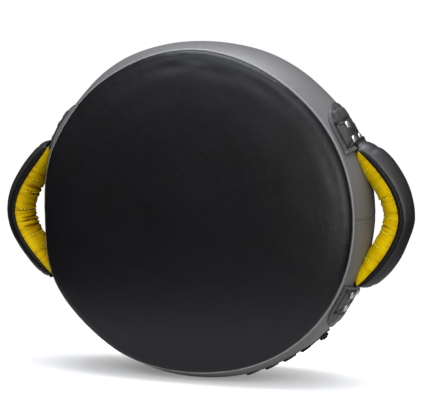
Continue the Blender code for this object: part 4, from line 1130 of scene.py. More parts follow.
def lace_radii(drum, laces, route):
    """Half of the lace's thickness along its route: fuller on bars and in the knot, clear of the floor."""
    proud = np.hypot(route[:, 0], route[:, 2]) - barrel_radius(drum, route[:, 1])
    angle = np.arctan2(route[:, 2], route[:, 0])
    on_bar = smooth_step(1.2 * MM, 2.2 * MM, proud) * smooth_step(KNOT_END, FIRST_BAR, angle)
    knot = skin(drum, KNOT_ANGLE, CLOSURE_Y, -KNOT_LIFT)
    in_knot = smooth_step(9 * MM, 7 * MM, np.linalg.norm(route - knot, axis=1))
    usual = laces.radius
    radii = usual + (laces.bar_radius - usual) * on_bar + (laces.knot_radius - usual) * in_knot
    room = route[:, 2] + drum.standing - 0.05 * MM
    return np.clip(room, 1.2 * MM, radii)


def lace_holes(laces):
    """Angle and distance from the wall's middle of each punched hole: the tail's, then those of each bar."""
    places = [(TAIL_HOLE, CLOSURE_Y)]
    for k in range(laces.crossings):
        angle = LACE_START - k * LACE_PITCH
        if k:
            places.append((angle, CLOSURE_Y + laces.offset))
        places.append((angle - LACE_SLANT, CLOSURE_Y - laces.offset))
    return places


def punch(drum, item, places, radius):
    """Punch round holes through a piece, square to the side wall."""
    builder = bmesh.new()
    for angle, y in places:
        out = Vector(outward(drum, angle, y))
        around = Vector((-math.sin(angle), 0.0, math.cos(angle)))
        turn = Matrix((around, out.cross(around), out)).transposed().to_4x4()
        place = Matrix.Translation(Vector(skin(drum, angle, y) + MIDDLE))
        bmesh.ops.create_cone(builder, cap_ends=True, segments=HOLE_SIDES, radius1=radius,
                              radius2=radius, depth=PUNCH_LENGTH, matrix=place @ turn)
    mesh = bpy.data.meshes.new("punches")
    builder.to_mesh(mesh)
    builder.free()
    cutter = linked("punches", mesh)
    modifier = item.modifiers.new("holes", "BOOLEAN")
    modifier.object = cutter
    modifier.solver = "EXACT"
    modified(item, modifier)
    bpy.data.objects.remove(cutter)


# Patches and rivets


def patch_angle(side, level, along):
    """Angle of a place along a patch; side is 1 at the right, level is 1 above the handle."""
    angle = PATCH_START + np.asarray(along) / GIRTH_RADIUS
    return level * (angle if side > 0 else math.pi - angle) + TILTS[side]


def patch_y(side, across):
    """Place of a patch's point from front to back; the left patches are narrower towards the front."""
    across = np.asarray(across)
    return HANDLE_SHIFT + np.where((across < 0) & (side < 0), LEFT_PATCH_FRONT * across, across)


def patch_half_width(half_width, share):
    """Half width of a patch's rounded outline at a share of its length."""
    return half_width * np.sqrt(np.clip(1 - np.asarray(share) ** 6, 0.0, 1.0))


def rivet_spots(patch):
    """Places of a patch's rivets, as distance along it and across it."""
    half = patch.rivet_pair / 2
    return [(patch.pair_inset, -half), (patch.pair_inset, half), (patch.single_inset, patch.single_shift)]


def seams_of_patch():
    """Sewn box and its cross, as pairs of ends in (along, across)."""
    low, high, half = 7 * MM, 47 * MM, 36 * MM
    box = [(low, -half), (high, -half), (high, half), (low, half)]
    return list(zip(box, box[1:] + box[:1])) + [(box[0], box[2]), (box[1], box[3])]


def from_segment(along, across, near, far):
    """Distance of points from a straight seam."""
    near, far = np.asarray(near), np.asarray(far)
    spots = stacked(along, across) - near
    run = far - near
    share = np.clip(spots @ run / run.dot(run), 0.0, 1.0)
    return np.linalg.norm(spots - share[..., None] * run, axis=-1)


def patch_lift(along, across):
    """Height of a patch's under side over the side wall."""
    edge = STRAP_HALF_WIDTH + 0.5 * MM
    on_strap = smooth_step(edge + 5 * MM, edge + 0.5 * MM, np.abs(across))
    on_strap = on_strap * smooth_step(STRAP_END_LENGTH + 7 * MM, STRAP_END_LENGTH + 2 * MM, along)
    return PATCH_SEAT + (PATCH_RAISE - PATCH_SEAT) * on_strap + 1.6 * MM * smooth_step(5 * MM, 0.0, along)


def patch_relief(patch, along, across):
    """Puffing of the leather between seams and dimples under the rivets."""
    puff, groove, groove_width, dimple, dimple_width = (size * MM for size in (0.9, 1.2, 1.6, 1.3, 10))
    height = puff + 0 * along
    for near, far in seams_of_patch():
        height = height - groove * np.exp(-(from_segment(along, across, near, far) / groove_width) ** 2)
    for u, v in rivet_spots(patch):
        height = height - dimple * np.exp(-(((along - u) ** 2 + (across - v) ** 2) / dimple_width ** 2))
    return height


def leather_patch(drum, patch, name, side, level):
    """Leather patch over the strap end, puffed between its seams, with a rounded far end."""
    columns, rows = PATCH_GRID
    share = np.sin(np.linspace(0, 0.5, columns) * math.pi)[:, None] * 0.996
    cross = towards_ends(rows, 0.86)[None, :]
    along = share * patch.reach + 0 * cross
    width = patch_half_width(patch.half_width, share)
    across = cross * width
    angle = patch_angle(side, level, along)
    y = patch_y(side, across)
    seat = patch_lift(along, across)
    rim = np.minimum((1 - np.abs(cross)) * width, (1 - share) * patch.reach)
    base = skin(drum, angle, y)
    creases = 0.5 * MM * unevenness(base, 0.011, 2.2 + side + 3 * level)
    relief = (patch_relief(patch, along, across) + creases) * smooth_step(0.0, 4 * MM, rim)
    relief = np.maximum(relief - 0.5 * MM * smooth_step(2 * MM, 0.0, rim), -0.6 * MM)
    out = outward(drum, angle, y)
    outer = base + out * (seat + patch.leather + relief)[..., None]
    inner = base + out * seat[..., None]
    wear = 0.9 * np.exp(-rim / (1.6 * MM)) + 0.5 * smooth_step(0.5 * MM, 1.1 * MM, relief)
    return add_sheet(name, outer, inner, "black_leather", marks={"wear": wear})


def patch_route(drum, patch, side, level, along, across, lift):
    """Points and outward directions of a line drawn on a patch."""
    along, across = np.asarray(along), np.asarray(across)
    angle = patch_angle(side, level, along)
    y = patch_y(side, across)
    out = outward(drum, angle, y)
    high = patch_lift(along, across) + patch.leather + lift
    return skin(drum, angle, y) + out * high[..., None], out


def patch_edge(patch, inset):
    """Line round a patch's outline, inside its edge: out along one side, round the far end and back."""
    share = np.sin(np.linspace(0, 1, 90) * math.pi / 2)
    along = share * (patch.reach - inset)
    across = patch_half_width(patch.half_width - inset, share)
    start = 2 * MM
    along, across = along[along > start], across[along > start]
    return np.concatenate([along, along[::-1]]), np.concatenate([-across, across[::-1]])


def rivet(drum, patch, angle, y, points, faces):
    """Add one rivet, its domed cap and shank, to the points and faces of the patch's set."""
    sides = 28
    rim, shank, shank_length = 0.6 * MM, 1.8 * MM, 8.5 * MM
    cap, rise = patch.rivet_cap, patch.rivet_rise
    dome = np.radians((0, 14, 28, 43, 57, 70, 82, 90))
    profile = [(cap * math.sin(t), rim + rise * math.cos(t)) for t in dome]
    profile += [(cap, 0.35 * rim), (cap - 0.25 * MM, 0.0), (shank, 0.0), (shank, -shank_length),
                (0.0, -shank_length)]
    out = outward(drum, angle, y)
    around = np.array((-math.sin(angle), 0.0, math.cos(angle)))
    across = np.cross(out, around)
    middle = skin(drum, angle, y) + out * (PATCH_RAISE + patch.leather - RIVET_SINK)
    start = sum(len(block) for block in points)
    points.append(np.array([middle + out * high + radius * (around * math.cos(t) + across * math.sin(t))
                            for t in turns_of(sides) for radius, high in profile]))
    faces += grid_faces(sides, len(profile), closed=True, start=start)


# Handles


def handle_form(side, z, column):
    """A column of a handle's table of form at heights on it, in metres."""
    table = np.array(HANDLE_FORM[side])
    return rounded(z / MM, 8, (table[:, 0], table[:, column], None))


def spine(handle, side, z):
    """Distance of the strap from the drum's middle at heights on a handle."""
    bow = (np.abs(z) / handle.half_length) ** handle.spine_power
    return handle.reach - handle.drop * bow + handle_form(side, z, 1)


def handle_points(drum, handle, side, z, out, across, clearance, over_patch=0.0):
    """Points of a handle, held clear of the side wall that it rests on and of the patch beyond its end."""
    z, out, across = np.broadcast_arrays(z, out, across)
    x = spine(handle, side, z)
    slope = (spine(handle, side, z - MM) - spine(handle, side, z + MM)) / (2 * MM)
    size = np.sqrt(1 + slope ** 2)
    nx, nz = 1 / size, slope / size
    y = HANDLE_SHIFT + across
    level = np.arctan2(z, x)
    angle = (level if side > 0 else math.pi - level) + TILTS[side]
    limit = barrel_radius(drum, y) + wall_wave(drum, angle, y) + clearance
    limit = limit + over_patch * smooth_step(PATCH_START - 0.025, PATCH_START - 0.005, np.abs(level))
    inside = nx * x + nz * z
    touching = -inside + np.sqrt(np.maximum(inside ** 2 - x ** 2 - z ** 2 + limit ** 2, 0.0))
    out = np.maximum(out, touching)
    x, z = side * (x + nx * out), z + nz * out
    cosine, sine = math.cos(TILTS[side]), math.sin(TILTS[side])
    return stacked(x * cosine - z * sine, y, x * sine + z * cosine)


def handle_sizes(handle, side, z):
    """Outer and inner thickness, half width and edge scale along a handle."""
    full, long = (np.sqrt(np.clip(1 - (np.abs(z) / half) ** handle.end_rounding, 0.0, 1.0))
                  for half in (handle.half_length, np.where(z > 0, *SHELL_LENGTHS[side])))
    outer = (handle.outer_pad + handle_form(side, z, 2)) * long
    outer = np.maximum(outer, END_THICKNESS + handle.shell_leather)
    inner = np.maximum(handle.inner_pad * full, END_THICKNESS + handle.lining)
    return outer, inner, handle.half_width * (0.9 + 0.1 * full), np.maximum(full, 0.15)


def handle_stations(half_length, count):
    """Places along a handle, a little closer together towards its ends."""
    even = np.linspace(-1, 1, count)
    return half_length * (0.6 * even + 0.4 * np.sin(even * math.pi / 2))[:, None]


def roll_height(handle, side):
    """Half thickness of a handle's rolled edges, which are fuller on the left one."""
    return handle.roll_height * (1.15 - 0.15 * side)


def edge_raise(handle, side):
    """How far outside the strap a handle's rolled edges sit."""
    return handle.roll_raise + side * handle.roll_lean


def fading(share, reach):
    """From 1 at both sewn edges of a handle's leather towards 0 between them."""
    return np.exp(-share / reach) + np.exp(-(1 - share) / reach)


def at_edges(share, breadth):
    """1 on both sewn edges of a handle's leather and nothing farther from them than about the breadth."""
    return ridge(share, 0.0, breadth) + ridge(share, 1.0, breadth)


def crumple(z, across, size, seed):
    """Noise over a handle's unrolled leather; size is that of its folds along the handle."""
    return unevenness(stacked(z / size, across, 0 * z + seed), 1.0)


def handle_shell(drum, handle, name, side):
    """Black leather over the outer half of a handle, full between its edges; its ends lie on the patches."""
    above, below = SHELL_LENGTHS[side]
    columns, rows = SHELL_GRID
    z = handle_stations(1.0, columns) * (above + below) / 2 + (above - below) / 2
    outer, _, width, edge = handle_sizes(handle, side, z)
    lip = (edge_raise(handle, side) + roll_height(handle, side) + SEAM_GAP) * edge
    start = np.arcsin(np.minimum(0.6, lip / outer))
    share = np.linspace(0, 1, rows)[None, :]
    turn = start + (math.pi - 2 * start) * share
    sine, cosine = np.sin(turn), np.cos(turn)
    spots = handle_points(drum, handle, side, z, outer * sine, width * cosine, 0.0)
    soft = 0.8 * MM * unevenness(spots, 0.036, 1.1 + side)
    soft = soft + 0.2 * MM * unevenness(spots * (1, 0.35, 1), 0.011, 6.0)
    near_end = smooth_step(0.76, 1.0, np.abs(z) / handle.half_length)
    gather = 0.5 * MM * crumple(z, 1.3 * share, 3.4 * MM, 2.7 * side)
    gather = gather * fading(share, 0.055) * (0.5 + near_end)
    middle = np.sin(math.pi * share)
    pinch = -1.4 * MM * ridge(np.abs(z), 0.9 * handle.half_length, 2.5 * MM) * middle
    pull = -0.5 * MM * at_edges(share, 0.05)
    relief = (soft * middle + gather + pinch + pull) * np.minimum(edge, 1.0)
    skin_out = handle_points(drum, handle, side, z, (outer + relief) * sine,
                             (width + 0.4 * relief) * cosine, 0.0, PATCH_TOP + handle.shell_leather)
    thin = outer - handle.shell_leather + np.minimum(relief, 0.0)
    thin = np.maximum(thin * sine, np.maximum(lip, END_THICKNESS))
    under = handle_points(drum, handle, side, z, thin, (width - handle.shell_leather) * cosine, 0.0,
                          PATCH_TOP)
    wear = 0.3 * at_edges(share, 0.03) + 0.15 * near_end + 0 * z
    return add_sheet(name, skin_out, under, "shell", marks={"wear": wear})


def grip_grid(handle, side, z, share):
    """Thickness, half width and angle round the section of the lining at places along and across it."""
    _, inner, width, edge = handle_sizes(handle, side, z)
    lip = (roll_height(handle, side) - edge_raise(handle, side) + SEAM_GAP) * edge
    start = np.arcsin(np.clip(lip / inner, -0.3, 0.6))
    return inner, width, start + (math.pi - 2 * start) * share


def lining_relief(handle, side, z, share):
    """Height that gathers, creases and quilting add to the lining, and the painted shade that each place
    gets from how deep in a fold it is.
    """
    cross = 2 * share - 1
    gathers = crumple(z, 0.9 * cross, 3.6 * MM, side * 3.3)
    soft = crumple(z, 0.9 * cross, 17 * MM, side * 8.1)
    gathered = 0.36 - 0.16 * side + fading(share, 0.1)
    relief = handle.gather * gathers * gathered + 1.0 * MM * soft
    # Painted shade in the hollows of the gathers and soft folds
    fold = 0.3 * gathered * smooth_step(0.0, -0.5, gathers) + 0.2 * smooth_step(0.0, -0.6, soft)
    for place, breadth, depth, slant, reach in CREASES[side]:
        off = np.abs(z / MM - place - slant * 40 * cross - 1.2 * np.sin(4.3 * cross + place))
        bow = smooth_step(reach + 0.25, reach - 0.45, np.abs(cross)) * smooth_step(1.0, 0.8, np.abs(cross))
        line = np.exp(-off / breadth)
        lips = 0.42 * ridge(off, 2.6 * breadth, 1.5 * breadth)
        relief = relief + (1.0 - 0.15 * side) * depth * MM * bow * (lips - line)
        # Painted shade along each crease line
        fold = fold + 0.42 * depth * line * bow
    for place in QUILT_ROWS:
        relief = relief - 0.5 * MM * ridge(z / MM - place, 0.0, 2.0) * smooth_step(0.75, 0.5, np.abs(cross))
    end_fade = smooth_step(1.0, 0.93, np.abs(z) / handle.half_length)
    relief = relief * end_fade * smooth_step(0.0, 0.04, share) * smooth_step(1.0, 0.96, share)
    return relief, fold


def handle_grip(drum, handle, name, side):
    """Yellow lining over the inner half of a handle, gathered at its sewn edges and creased in its bend."""
    columns, rows = LINING_GRID
    z = handle_stations(handle.half_length, columns)
    share = np.linspace(0, 1, rows)[None, :]
    inner, width, turn = grip_grid(handle, side, z, share)
    relief, fold = lining_relief(handle, side, z, share)
    sine, cosine = np.sin(turn), np.cos(turn)
    skin_out = handle_points(drum, handle, side, z, -(inner + relief) * sine,
                             (width + 0.3 * relief) * cosine, REST_GAP)
    thin = (inner - handle.lining + np.minimum(relief, 0.0)) * sine
    under = handle_points(drum, handle, side, z, -thin * smooth_step(-0.2, 0.2, thin / MM),
                          (width - handle.lining) * cosine, REST_GAP + handle.lining)
    # Painted shade over the middle of the lining, much stronger on the left handle
    painted_middle_shade = (0.31 - 0.22 * side) * smooth_step(0.02, 0.55, 1 - np.abs(2 * share - 1))
    # Painted shade along both sewn edges, added to that of the folds
    fold = np.clip(fold + painted_middle_shade + 0.35 * at_edges(share, 0.05), 0.0, 1.0) + 0 * z
    return add_sheet(name, skin_out, under, "yellow_fabric", marks={"fold": fold})


def quilt_lines(drum, handle, side):
    """Lines of the lining's quilting stitches, in short rows across it, with their outward directions."""
    lines = []
    for k, place in enumerate(QUILT_ROWS):
        share = np.linspace(0.3, 0.86, 12)[None, :]
        z = (place + 1.1 * np.sin(9 * share + k)) * MM
        inner, width, turn = grip_grid(handle, side, z, share)
        relief, _ = lining_relief(handle, side, z, share)
        high = inner + relief + 0.1 * MM
        near, far = (handle_points(drum, handle, side, z, -(high + off) * np.sin(turn),
                                   (width + 0.3 * relief + off) * np.cos(turn), REST_GAP)[0]
                     for off in (0.0, 1 * MM))
        out = far - near
        lines.append((near, out / np.maximum(np.linalg.norm(out, axis=1), DOUBLES)[:, None]))
    return lines


def handle_edge(drum, handle, name, side, edge_side):
    """Rolled leather edge with a sewn groove, where the shell and the lining meet."""
    columns, sides = EDGE_GRID
    z = handle_stations(handle.half_length, columns)
    _, _, width, edge = handle_sizes(handle, side, z)
    raised = edge_raise(handle, side)
    turns = turns_of(sides)[None, :]
    base = handle_points(drum, handle, side, z, raised * edge, edge_side * width, REST_GAP)
    fuzz = 1 + 0.09 * unevenness(base, 0.005, 3.3 + edge_side) + 0.06 * unevenness(base, 0.017, 5.0)
    groove = 1 - 0.22 * ridge(turns, EDGE_GROOVE, 0.2) - 0.16 * ridge(turns, math.radians(140), 0.22)
    out = edge * (raised + roll_height(handle, side) * np.cos(turns) * groove * fuzz)
    across = width - 1.0 * MM + handle.roll_width * np.sin(turns) * (0.5 + 0.5 * edge) * groove * fuzz
    rings = handle_points(drum, handle, side, z, out, edge_side * across, REST_GAP)
    wear = 0.5 * ridge(turns, math.radians(95), 0.5) + 0 * z
    return add_mesh(name, rings, tube_faces(*rings.shape[:2]), "binding", marks={"wear": wear})


def edge_line(drum, handle, side, edge_side):
    """Line of the groove along a rolled edge, a little under the leather's full height."""
    turn, sunk = EDGE_GROOVE, 0.75 * MM
    z = handle_stations(handle.half_length, 90)[4:-4]
    _, _, width, edge = handle_sizes(handle, side, z)
    out = edge * (edge_raise(handle, side) + (roll_height(handle, side) - sunk) * math.cos(turn))
    across = width - 1.0 * MM + (handle.roll_width - sunk) * math.sin(turn) * (0.5 + 0.5 * edge)
    line = handle_points(drum, handle, side, z, out, edge_side * across, REST_GAP)[:, 0]
    direction = np.array((side * math.cos(turn) * 0.6, edge_side * math.sin(turn), 0.0))
    return line, np.broadcast_to(direction / np.linalg.norm(direction), line.shape)


def handle_padding(drum, handle, name, side, outwards):
    """Stuffing of a handle outside or inside its strap, rounded like the cover that it fills."""
    columns, rows = STUFFING_GRID
    z = handle_stations(handle.half_length - 4 * MM, columns)
    outer, inner, width, _ = handle_sizes(handle, side, z)
    cover = outer - handle.shell_leather if outwards else inner - handle.lining
    height = np.maximum(cover - 2.4 * MM, STRAP_TOP)
    rise = np.linspace(0.0, math.pi, rows)[None, :]
    flat = np.linspace(-1.0, 1.0, 8)[None, 1:-1]
    base = STRAP_HALF_THICKNESS + 0.2 * MM
    out = np.concatenate([base + height * np.sin(rise), base + 0 * z * flat], axis=1)
    across = (width - 4.5 * MM) * np.concatenate([np.cos(rise), flat], axis=1)
    out = out if outwards else -out
    rings = handle_points(drum, handle, side, z, out, across, REST_GAP + 2 * handle.lining)
    return add_mesh(name, rings, tube_faces(*rings.shape[:2]), "foam")


def handle_strap(drum, handle, name, side):
    """Webbing strap through a handle, its ends flat on the side wall under both patches."""
    columns, rows = STRAP_GRID
    off = np.linspace(-1, 1, rows)[None, :] * STRAP_HALF_WIDTH
    along = np.linspace(0.0, STRAP_END_LENGTH, 24)[:, None]
    lift = STRAP_LIFT * smooth_step(8 * MM, 0.0, along)
    z = handle_stations(handle.half_length, columns)

    def on_wall(level, height):
        angle = patch_angle(side, level, along) + 0 * off
        y = patch_y(side, off) + 0 * along
        return skin(drum, angle, y) + outward(drum, angle, y) * (lift + height)[..., None]

    narrowed = (1 - LEFT_PATCH_FRONT) * smooth_step(0.75, 1.0, np.abs(z) / handle.half_length)
    inner_off = off * (1 - narrowed * (off < 0) * (side < 0))
    sheets = []
    for height, through_handle in ((STRAP_TOP, STRAP_HALF_THICKNESS), (STRAP_SEAT, -STRAP_HALF_THICKNESS)):
        inside = handle_points(drum, handle, side, z, through_handle + 0 * off, inner_off, height)
        sheets.append(np.concatenate([on_wall(-1, height)[::-1], inside, on_wall(1, height)]))
    return add_sheet(name, *sheets, "black_webbing")


# Foam under the cover


def end_foam(drum, name, is_face):
    """Round foam layer behind the striking face or in front of the back panel."""
    side = -1 if is_face else 1
    rise = (drum.face_rise if is_face else drum.back_rise) - FOAM_REST
    rim = drum.seam_radius - 9 * MM
    radius = np.array((0.0, 0.5, 0.8, 0.93, 1.0, 1.0, 0.93, 0.8, 0.5, 0.0)) * rim
    out = np.array((1.0, 0.94, 0.74, 0.45, 0.1, 0.0, 0.0, 0.0, 0.0, 0.0)) * rise
    angles = full_turn(LAYER_COLUMNS)
    reach = radius[None, :] + seam_wave(angles) * (radius / rim)[None, :]
    points = polar(reach, angles, side * (drum.half_depth + out))
    return add_mesh(name, points, grid_faces(*points.shape[:2], closed=True), "foam")


def core_foam(drum, name):
    """Foam drum inside the side wall, clear of the burrs, with a channel behind the closure."""
    half = drum.half_depth - 2.5 * MM
    columns, rows = CORE_GRID
    y = np.concatenate([[-half], np.linspace(-half, half, rows), [half]])
    angles = full_turn(columns)
    turns = np.mod(angles + math.pi, 2 * math.pi) - math.pi
    low, high = CLOSURE_ANGLES
    behind = smooth_step(low - 0.12, low - 0.04, turns) * smooth_step(high + 0.12, high + 0.04, turns)
    channel = 7 * MM * behind * smooth_step(30 * MM, 25 * MM, np.abs(y - CLOSURE_Y))
    inset = CORE_REST + channel + 3 * MM * smooth_step(0.8, 1.0, np.abs(y) / half)
    points = skin(drum, angles + 0 * y, y + 0 * angles, inset)
    points[:, (0, -1), ::2] = 0.0
    return add_mesh(name, points, grid_faces(*points.shape[:2], closed=True), "foam")


# Finished pieces


def butt_seam_lines(drum, middle):
    """Both rows of stitches along a butt seam, from front to back."""
    ys = np.linspace(-0.93, 0.93, 60) * drum.half_depth
    wobble = 0.35 * MM * np.sin(ys / (3.1 * MM)) / GIRTH_RADIUS
    return [wall_line(drum, middle + off / GIRTH_RADIUS + wobble, ys, 0.02 * MM)
            for off in (-BUTT_STITCHES, BUTT_STITCHES)]


def make_patch(group, name, side, level):
    """One patch with its bound edge, its seams and its three rivets."""
    drum, patch = group.drum, group.patch

    def drawn(along, across, lift):
        return patch_route(drum, patch, side, level, along, across, lift)

    piece = leather_patch(drum, patch, f"{name}_patch_leather", side, level)
    settle(piece, "black_leather", f"{name}_patch")
    route, out = drawn(*patch_edge(patch, BINDING_INSET), -0.5 * MM)
    radii = np.full(len(route), BINDING_RADIUS)
    bead = add_tube(f"{name}_bound_edge", route, radii, 10, "black_leather", flat=0.8, up=out)
    settle(bead, "black_leather")
    lines = [drawn(*patch_edge(patch, inset), 0.3 * MM) for inset in PATCH_STITCHES]
    share = np.linspace(0, 1, 24)
    for ends in seams_of_patch():
        lines.append(drawn(*(near + (far - near) * share for near, far in zip(*ends)), -0.05 * MM))
    seams = sew(group.stitch, f"{name}_patch_stitches", lines, "dark_thread", thickness=1.4 * MM)
    settle(seams, "black_lace")
    points, faces = [], []
    for u, v in rivet_spots(patch):
        rivet(drum, patch, float(patch_angle(side, level, u)), float(patch_y(side, v)), points, faces)
    rivets = add_mesh(f"{name}_rivets", np.concatenate(points), faces, "nickel", sharp=38.0)
    settle(rivets, "nickel", *(f"{name}_rivet_{k}" for k in (1, 2, 3)))


def make_handle(group, name, side):
    """One handle: shell, lining, rolled edges, stitches, strap and stuffing."""
    drum, handle = group.drum, group.handle
    shell = handle_shell(drum, handle, f"{name}_shell_leather", side)
    settle(shell, "black_leather", f"{name}_handle_shell", padded=0.85)
    grip = handle_grip(drum, handle, f"{name}_yellow_lining", side)
    settle(grip, "yellow_fabric", f"{name}_handle_grip", padded=0.8)
    for edge_name, edge_side in ENDS:
        roll = handle_edge(drum, handle, f"{name}_{edge_name}_rolled_edge", side, edge_side)
        settle(roll, "black_leather", f"{name}_handle_{edge_name}_edge")
    lines = [edge_line(drum, handle, side, edge_side) for _, edge_side in ENDS]
    settle(sew(group.stitch, f"{name}_edge_stitches", lines, "dark_thread"), "black_lace")
    quilting = sew(group.stitch, f"{name}_quilting_stitches", quilt_lines(drum, handle, side), "pale_thread",
                   pitch=5.0 * MM, length=4.2 * MM, thickness=1.9 * MM)
    settle(quilting, "yellow_fabric")
    strap = handle_strap(drum, handle, f"{name}_webbing", side)
    settle(strap, "black_webbing", f"{name}_handle_strap")
    for pad_name, outwards in (("outer", True), ("inner", False)):
        pad = handle_padding(drum, handle, f"{name}_{pad_name}_stuffing", side, outwards)
        settle(pad, "foam", f"{name}_handle_{pad_name}_padding")


# Operators, one for each piece or group of like pieces


class ShieldOperator:
    """What every making operator of the shield has in common."""

    bl_options = {"REGISTER", "UNDO"}


class SHIELD_OT_materials(ShieldOperator, bpy.types.Operator):
    """Make the leather, fabric, thread, foam and metal materials"""

    bl_idname = "shield.materials"
    bl_label = "Materials"

    def execute(self, context):
        make_materials(settings(context).finish)
        return {"FINISHED"}


class SHIELD_OT_face(ShieldOperator, bpy.types.Operator):
    """Make the stuffed striking face"""

    bl_idname = "shield.face"
    bl_label = "Striking face"

    def execute(self, context):
        face = round_panel(settings(context).drum, "striking_face_leather", is_face=True)
        settle(face, "black_leather", "strike_face", padded=0.9)
        return {"FINISHED"}


class SHIELD_OT_back(ShieldOperator, bpy.types.Operator):
    """Make the back panel"""

    bl_idname = "shield.back"
    bl_label = "Back panel"

    def execute(self, context):
        back = round_panel(settings(context).drum, "back_panel_leather", is_face=False)
        settle(back, "black_leather", "back_panel", padded=0.9)
        return {"FINISHED"}


class SHIELD_OT_piping(ShieldOperator, bpy.types.Operator):
    """Make the piping round both seams"""

    bl_idname = "shield.piping"
    bl_label = "Piping"

    def execute(self, context):
        for name, side in ENDS:
            cord = piping(settings(context).drum, f"{name}_piping_cord", side)
            settle(cord, "grey_piping", f"{name}_piping")
        return {"FINISHED"}


class SHIELD_OT_walls(ShieldOperator, bpy.types.Operator):
    """Make both halves of the side wall, the lower one with its slit and punched holes"""

    bl_idname = "shield.walls"
    bl_label = "Side wall"

    def execute(self, context):
        group = settings(context)
        for level, _ in LEVELS:
            wall = side_wall(group.drum, f"{level}_wall_leather", level == "lower")
            if level == "lower":
                punch(group.drum, wall, lace_holes(group.laces), group.laces.hole)
            settle(wall, "grey_leather", f"{level}_gusset", padded=0.85)
        return {"FINISHED"}


class SHIELD_OT_wall_stitches(ShieldOperator, bpy.types.Operator):
    """Sew the butt seams and the hems of the laced closure"""

    bl_idname = "shield.wall_stitches"
    bl_label = "Side wall stitches"

    def execute(self, context):
        group = settings(context)
        for name, middle in (("right", 0.0), ("left", math.pi)):
            lines = butt_seam_lines(group.drum, middle)
            seam = sew(group.stitch, f"{name}_seam_stitches", lines, "dark_thread", thickness=0.6 * MM)
            settle(seam, "black_lace")
        low, high = CLOSURE_ANGLES
        angles = np.linspace(low + 0.01, high - 0.01, 260)
        lines = [wall_line(group.drum, angles, CLOSURE_Y + side * HEM_STITCHES, 0.35 * MM)
                 for side in (-1, 1)]
        settle(sew(group.stitch, "closure_hem_stitches", lines, "dark_thread"), "black_lace")
        return {"FINISHED"}


class SHIELD_OT_lace(ShieldOperator, bpy.types.Operator):
    """Make the braided lace with its knot"""

    bl_idname = "shield.lace"
    bl_label = "Closure lace"

    def execute(self, context):
        group = settings(context)
        route = lace_route(group.drum, group.laces)
        cord = add_tube("braided_lace", route, lace_radii(group.drum, group.laces, route), 12, "black_lace")
        settle(cord, "black_lace", "closure_lace")
        return {"FINISHED"}


class SHIELD_OT_patches(ShieldOperator, bpy.types.Operator):
    """Make the four patches with their bound edges, stitches and rivets"""

    bl_idname = "shield.patches"
    bl_label = "Patches and rivets"

    def execute(self, context):
        for side_name, side in SIDES:
            for level_name, level in LEVELS:
                make_patch(settings(context), f"{side_name}_{level_name}", side, level)
        return {"FINISHED"}


class SHIELD_OT_handles(ShieldOperator, bpy.types.Operator):
    """Make the padded handles: shell, lining, rolled edges and their stitches"""

    bl_idname = "shield.handles"
    bl_label = "Handles"

    def execute(self, context):
        for name, side in SIDES:
            make_handle(settings(context), name, side)
        return {"FINISHED"}


class SHIELD_OT_inner_parts(ShieldOperator, bpy.types.Operator):
    """Give the parts inside the cover their own finish"""

    bl_idname = "shield.inner_parts"
    bl_label = "Inner parts"

    def execute(self, context):
        drum = settings(context).drum
        for name, _ in ENDS:
            settle(end_foam(drum, f"{name}_foam_layer", name == "front"), "foam", f"{name}_foam")
        settle(core_foam(drum, "foam_core"), "foam", "core_foam")
        kinds = {"flap": "grey_leather", "burr": "nickel"}
        for name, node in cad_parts.items():
            for part, finish in kinds.items():
                if part in name:
                    for slot in node.material_slots:
                        slot.material = MATERIALS[finish]
        return {"FINISHED"}


class SHIELD_OT_stage(ShieldOperator, bpy.types.Operator):
    """Set up the camera, the white floor and the soft lamps"""

    bl_idname = "shield.stage"
    bl_label = "Stage"

    def execute(self, context):
        studio = settings(context).studio
        scene = context.scene
        view = bpy.data.cameras.new("camera")
        view.lens = studio.lens
        view.sensor_width = SENSOR_WIDTH
        view.sensor_fit = "HORIZONTAL"
        scene.camera = aimed(scene, "camera", view, studio.camera, studio.target)
        scene.view_settings.view_transform = "Standard"
        make_floor()
        for name, (place, size, shade) in LAMPS.items():
            make_lamp(scene, f"{name}_lamp", place, size, shade, getattr(studio, name))
        make_world(scene, studio.world)
        return {"FINISHED"}


def aimed(scene, name, data, place, target):
    """A camera or a lamp at its place, turned towards a point."""
    item = bpy.data.objects.new(name, data)
    item.location = place
    item.rotation_euler = (Vector(target) - Vector(place)).to_track_quat("-Z", "Y").to_euler()
    scene.collection.objects.link(item)
    return item


def make_lamp(scene, name, place, size, shade, power):
    """Soft rectangular lamp that points at the shield's middle."""
    data = bpy.data.lights.new(name, "AREA")
    data.shape = "RECTANGLE"
    data.size, data.size_y = size
    data.color = shade
    data.energy = power
    aimed(scene, name, data, place, LAMP_AIM)


def make_world(scene, strength):
    """White where the camera looks, and for the shield a room that is brightest above and in front."""
    world = bpy.data.worlds.new("soft_white")
    world.use_nodes = True
    make = Graph(world.node_tree)
    towards = make.add("ShaderNodeVectorMath", {1: (0.2, -0.6, 0.77)}, operation="DOT_PRODUCT")
    make.feed(towards.inputs[0], make.add("ShaderNodeTexCoord").outputs["Generated"])
    room = make.between(towards.outputs["Value"], -0.2, 0.9, 0.04, strength)
    seen = make.add("ShaderNodeLightPath").outputs["Is Camera Ray"]
    level = make.between(seen, 0.0, 1.0, room, 1.0)
    background = world.node_tree.nodes["Background"]
    make.feed(background.inputs["Color"], plain(1.0))
    make.feed(background.inputs["Strength"], level)
    scene.world = world


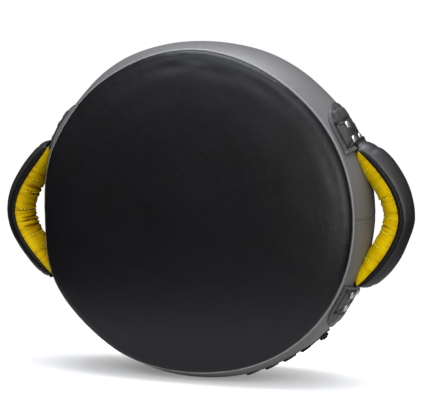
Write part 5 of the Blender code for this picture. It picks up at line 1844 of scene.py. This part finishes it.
def make_floor():
    """White floor that keeps the shield's shadow and runs out into the white background; a painted glow,
    seen only by the camera, whitens it beyond an ellipse round the shield.
    """
    mesh = bpy.data.meshes.new("floor")
    half = FLOOR_HALF
    corners = [(-half, -half, 0), (half, -half, 0), (half, half, 0), (-half, half, 0)]
    mesh.from_pydata(corners, [], [(0, 1, 2, 3)])
    floor = linked("floor", mesh)
    make = Recipe("white_floor")
    wide = make.add("ShaderNodeMapping", {"Vector": make.place, "Location": (0.025, 0.0, 0.0),
                                          "Scale": (0.64, 2.6, 1.0)}).outputs[0]
    near = make.add("ShaderNodeVectorMath", {0: wide}, operation="LENGTH").outputs["Value"]
    far = make.add("ShaderNodeVectorMath", {0: make.place}, operation="LENGTH").outputs["Value"]
    paper = make.mix(make.noise(3 * MM, detail=3.0), plain(0.66), plain(0.7))
    paper = make.mix(make.between(far, 0.25, 0.6, 0.0, 1.0), paper, plain(0.05))
    make.finish(Base_Color=paper, Roughness=0.9, Specular_IOR_Level=0.1)
    seen = make.add("ShaderNodeLightPath").outputs["Is Camera Ray"]
    # Painted light: a glow seen only by the camera, weakest in an ellipse round the shield whose size sets
    # how far the shadow shows
    inputs = {"Value": near, "From Min": 0.0, "From Max": 0.44, "To Min": 0.18}
    floor_glow = make.add("ShaderNodeMapRange", inputs, interpolation_type="SMOOTHSTEP").outputs["Result"]
    make.finish(Emission_Color=plain(1.0), Emission_Strength=make.math("MULTIPLY", seen, floor_glow))
    mesh.materials.append(make.material)


class SHIELD_PT_panel(bpy.types.Panel):
    """The shield's pieces, in the order in which they are made."""

    bl_idname = "SHIELD_PT_panel"
    bl_label = "Punching shield"
    bl_space_type = "VIEW_3D"
    bl_region_type = "UI"
    bl_category = "Shield"

    def draw(self, context):
        for operator in OPERATORS:
            self.layout.operator(operator.bl_idname)
        for group in GROUPS:
            box = self.layout.box()
            part = getattr(settings(context), group)
            for name in part.__annotations__:
                box.prop(part, name, text=name.replace("_", " ").capitalize())


OPERATORS = (SHIELD_OT_materials, SHIELD_OT_face, SHIELD_OT_back, SHIELD_OT_piping, SHIELD_OT_walls,
             SHIELD_OT_wall_stitches, SHIELD_OT_lace, SHIELD_OT_patches, SHIELD_OT_handles,
             SHIELD_OT_inner_parts, SHIELD_OT_stage)


def register():
    for kind in (*GROUPS.values(), ShieldSettings, *OPERATORS, SHIELD_PT_panel):
        bpy.utils.register_class(kind)
    bpy.types.Scene.shield = PointerProperty(type=ShieldSettings)


def unregister():
    del bpy.types.Scene.shield
    for kind in reversed((*GROUPS.values(), ShieldSettings, *OPERATORS, SHIELD_PT_panel)):
        bpy.utils.unregister_class(kind)


def main():
    register()
    for operator in OPERATORS:
        group, name = operator.bl_idname.split(".")
        getattr(getattr(bpy.ops, group), name)()


if __name__ == "__main__":
    main()
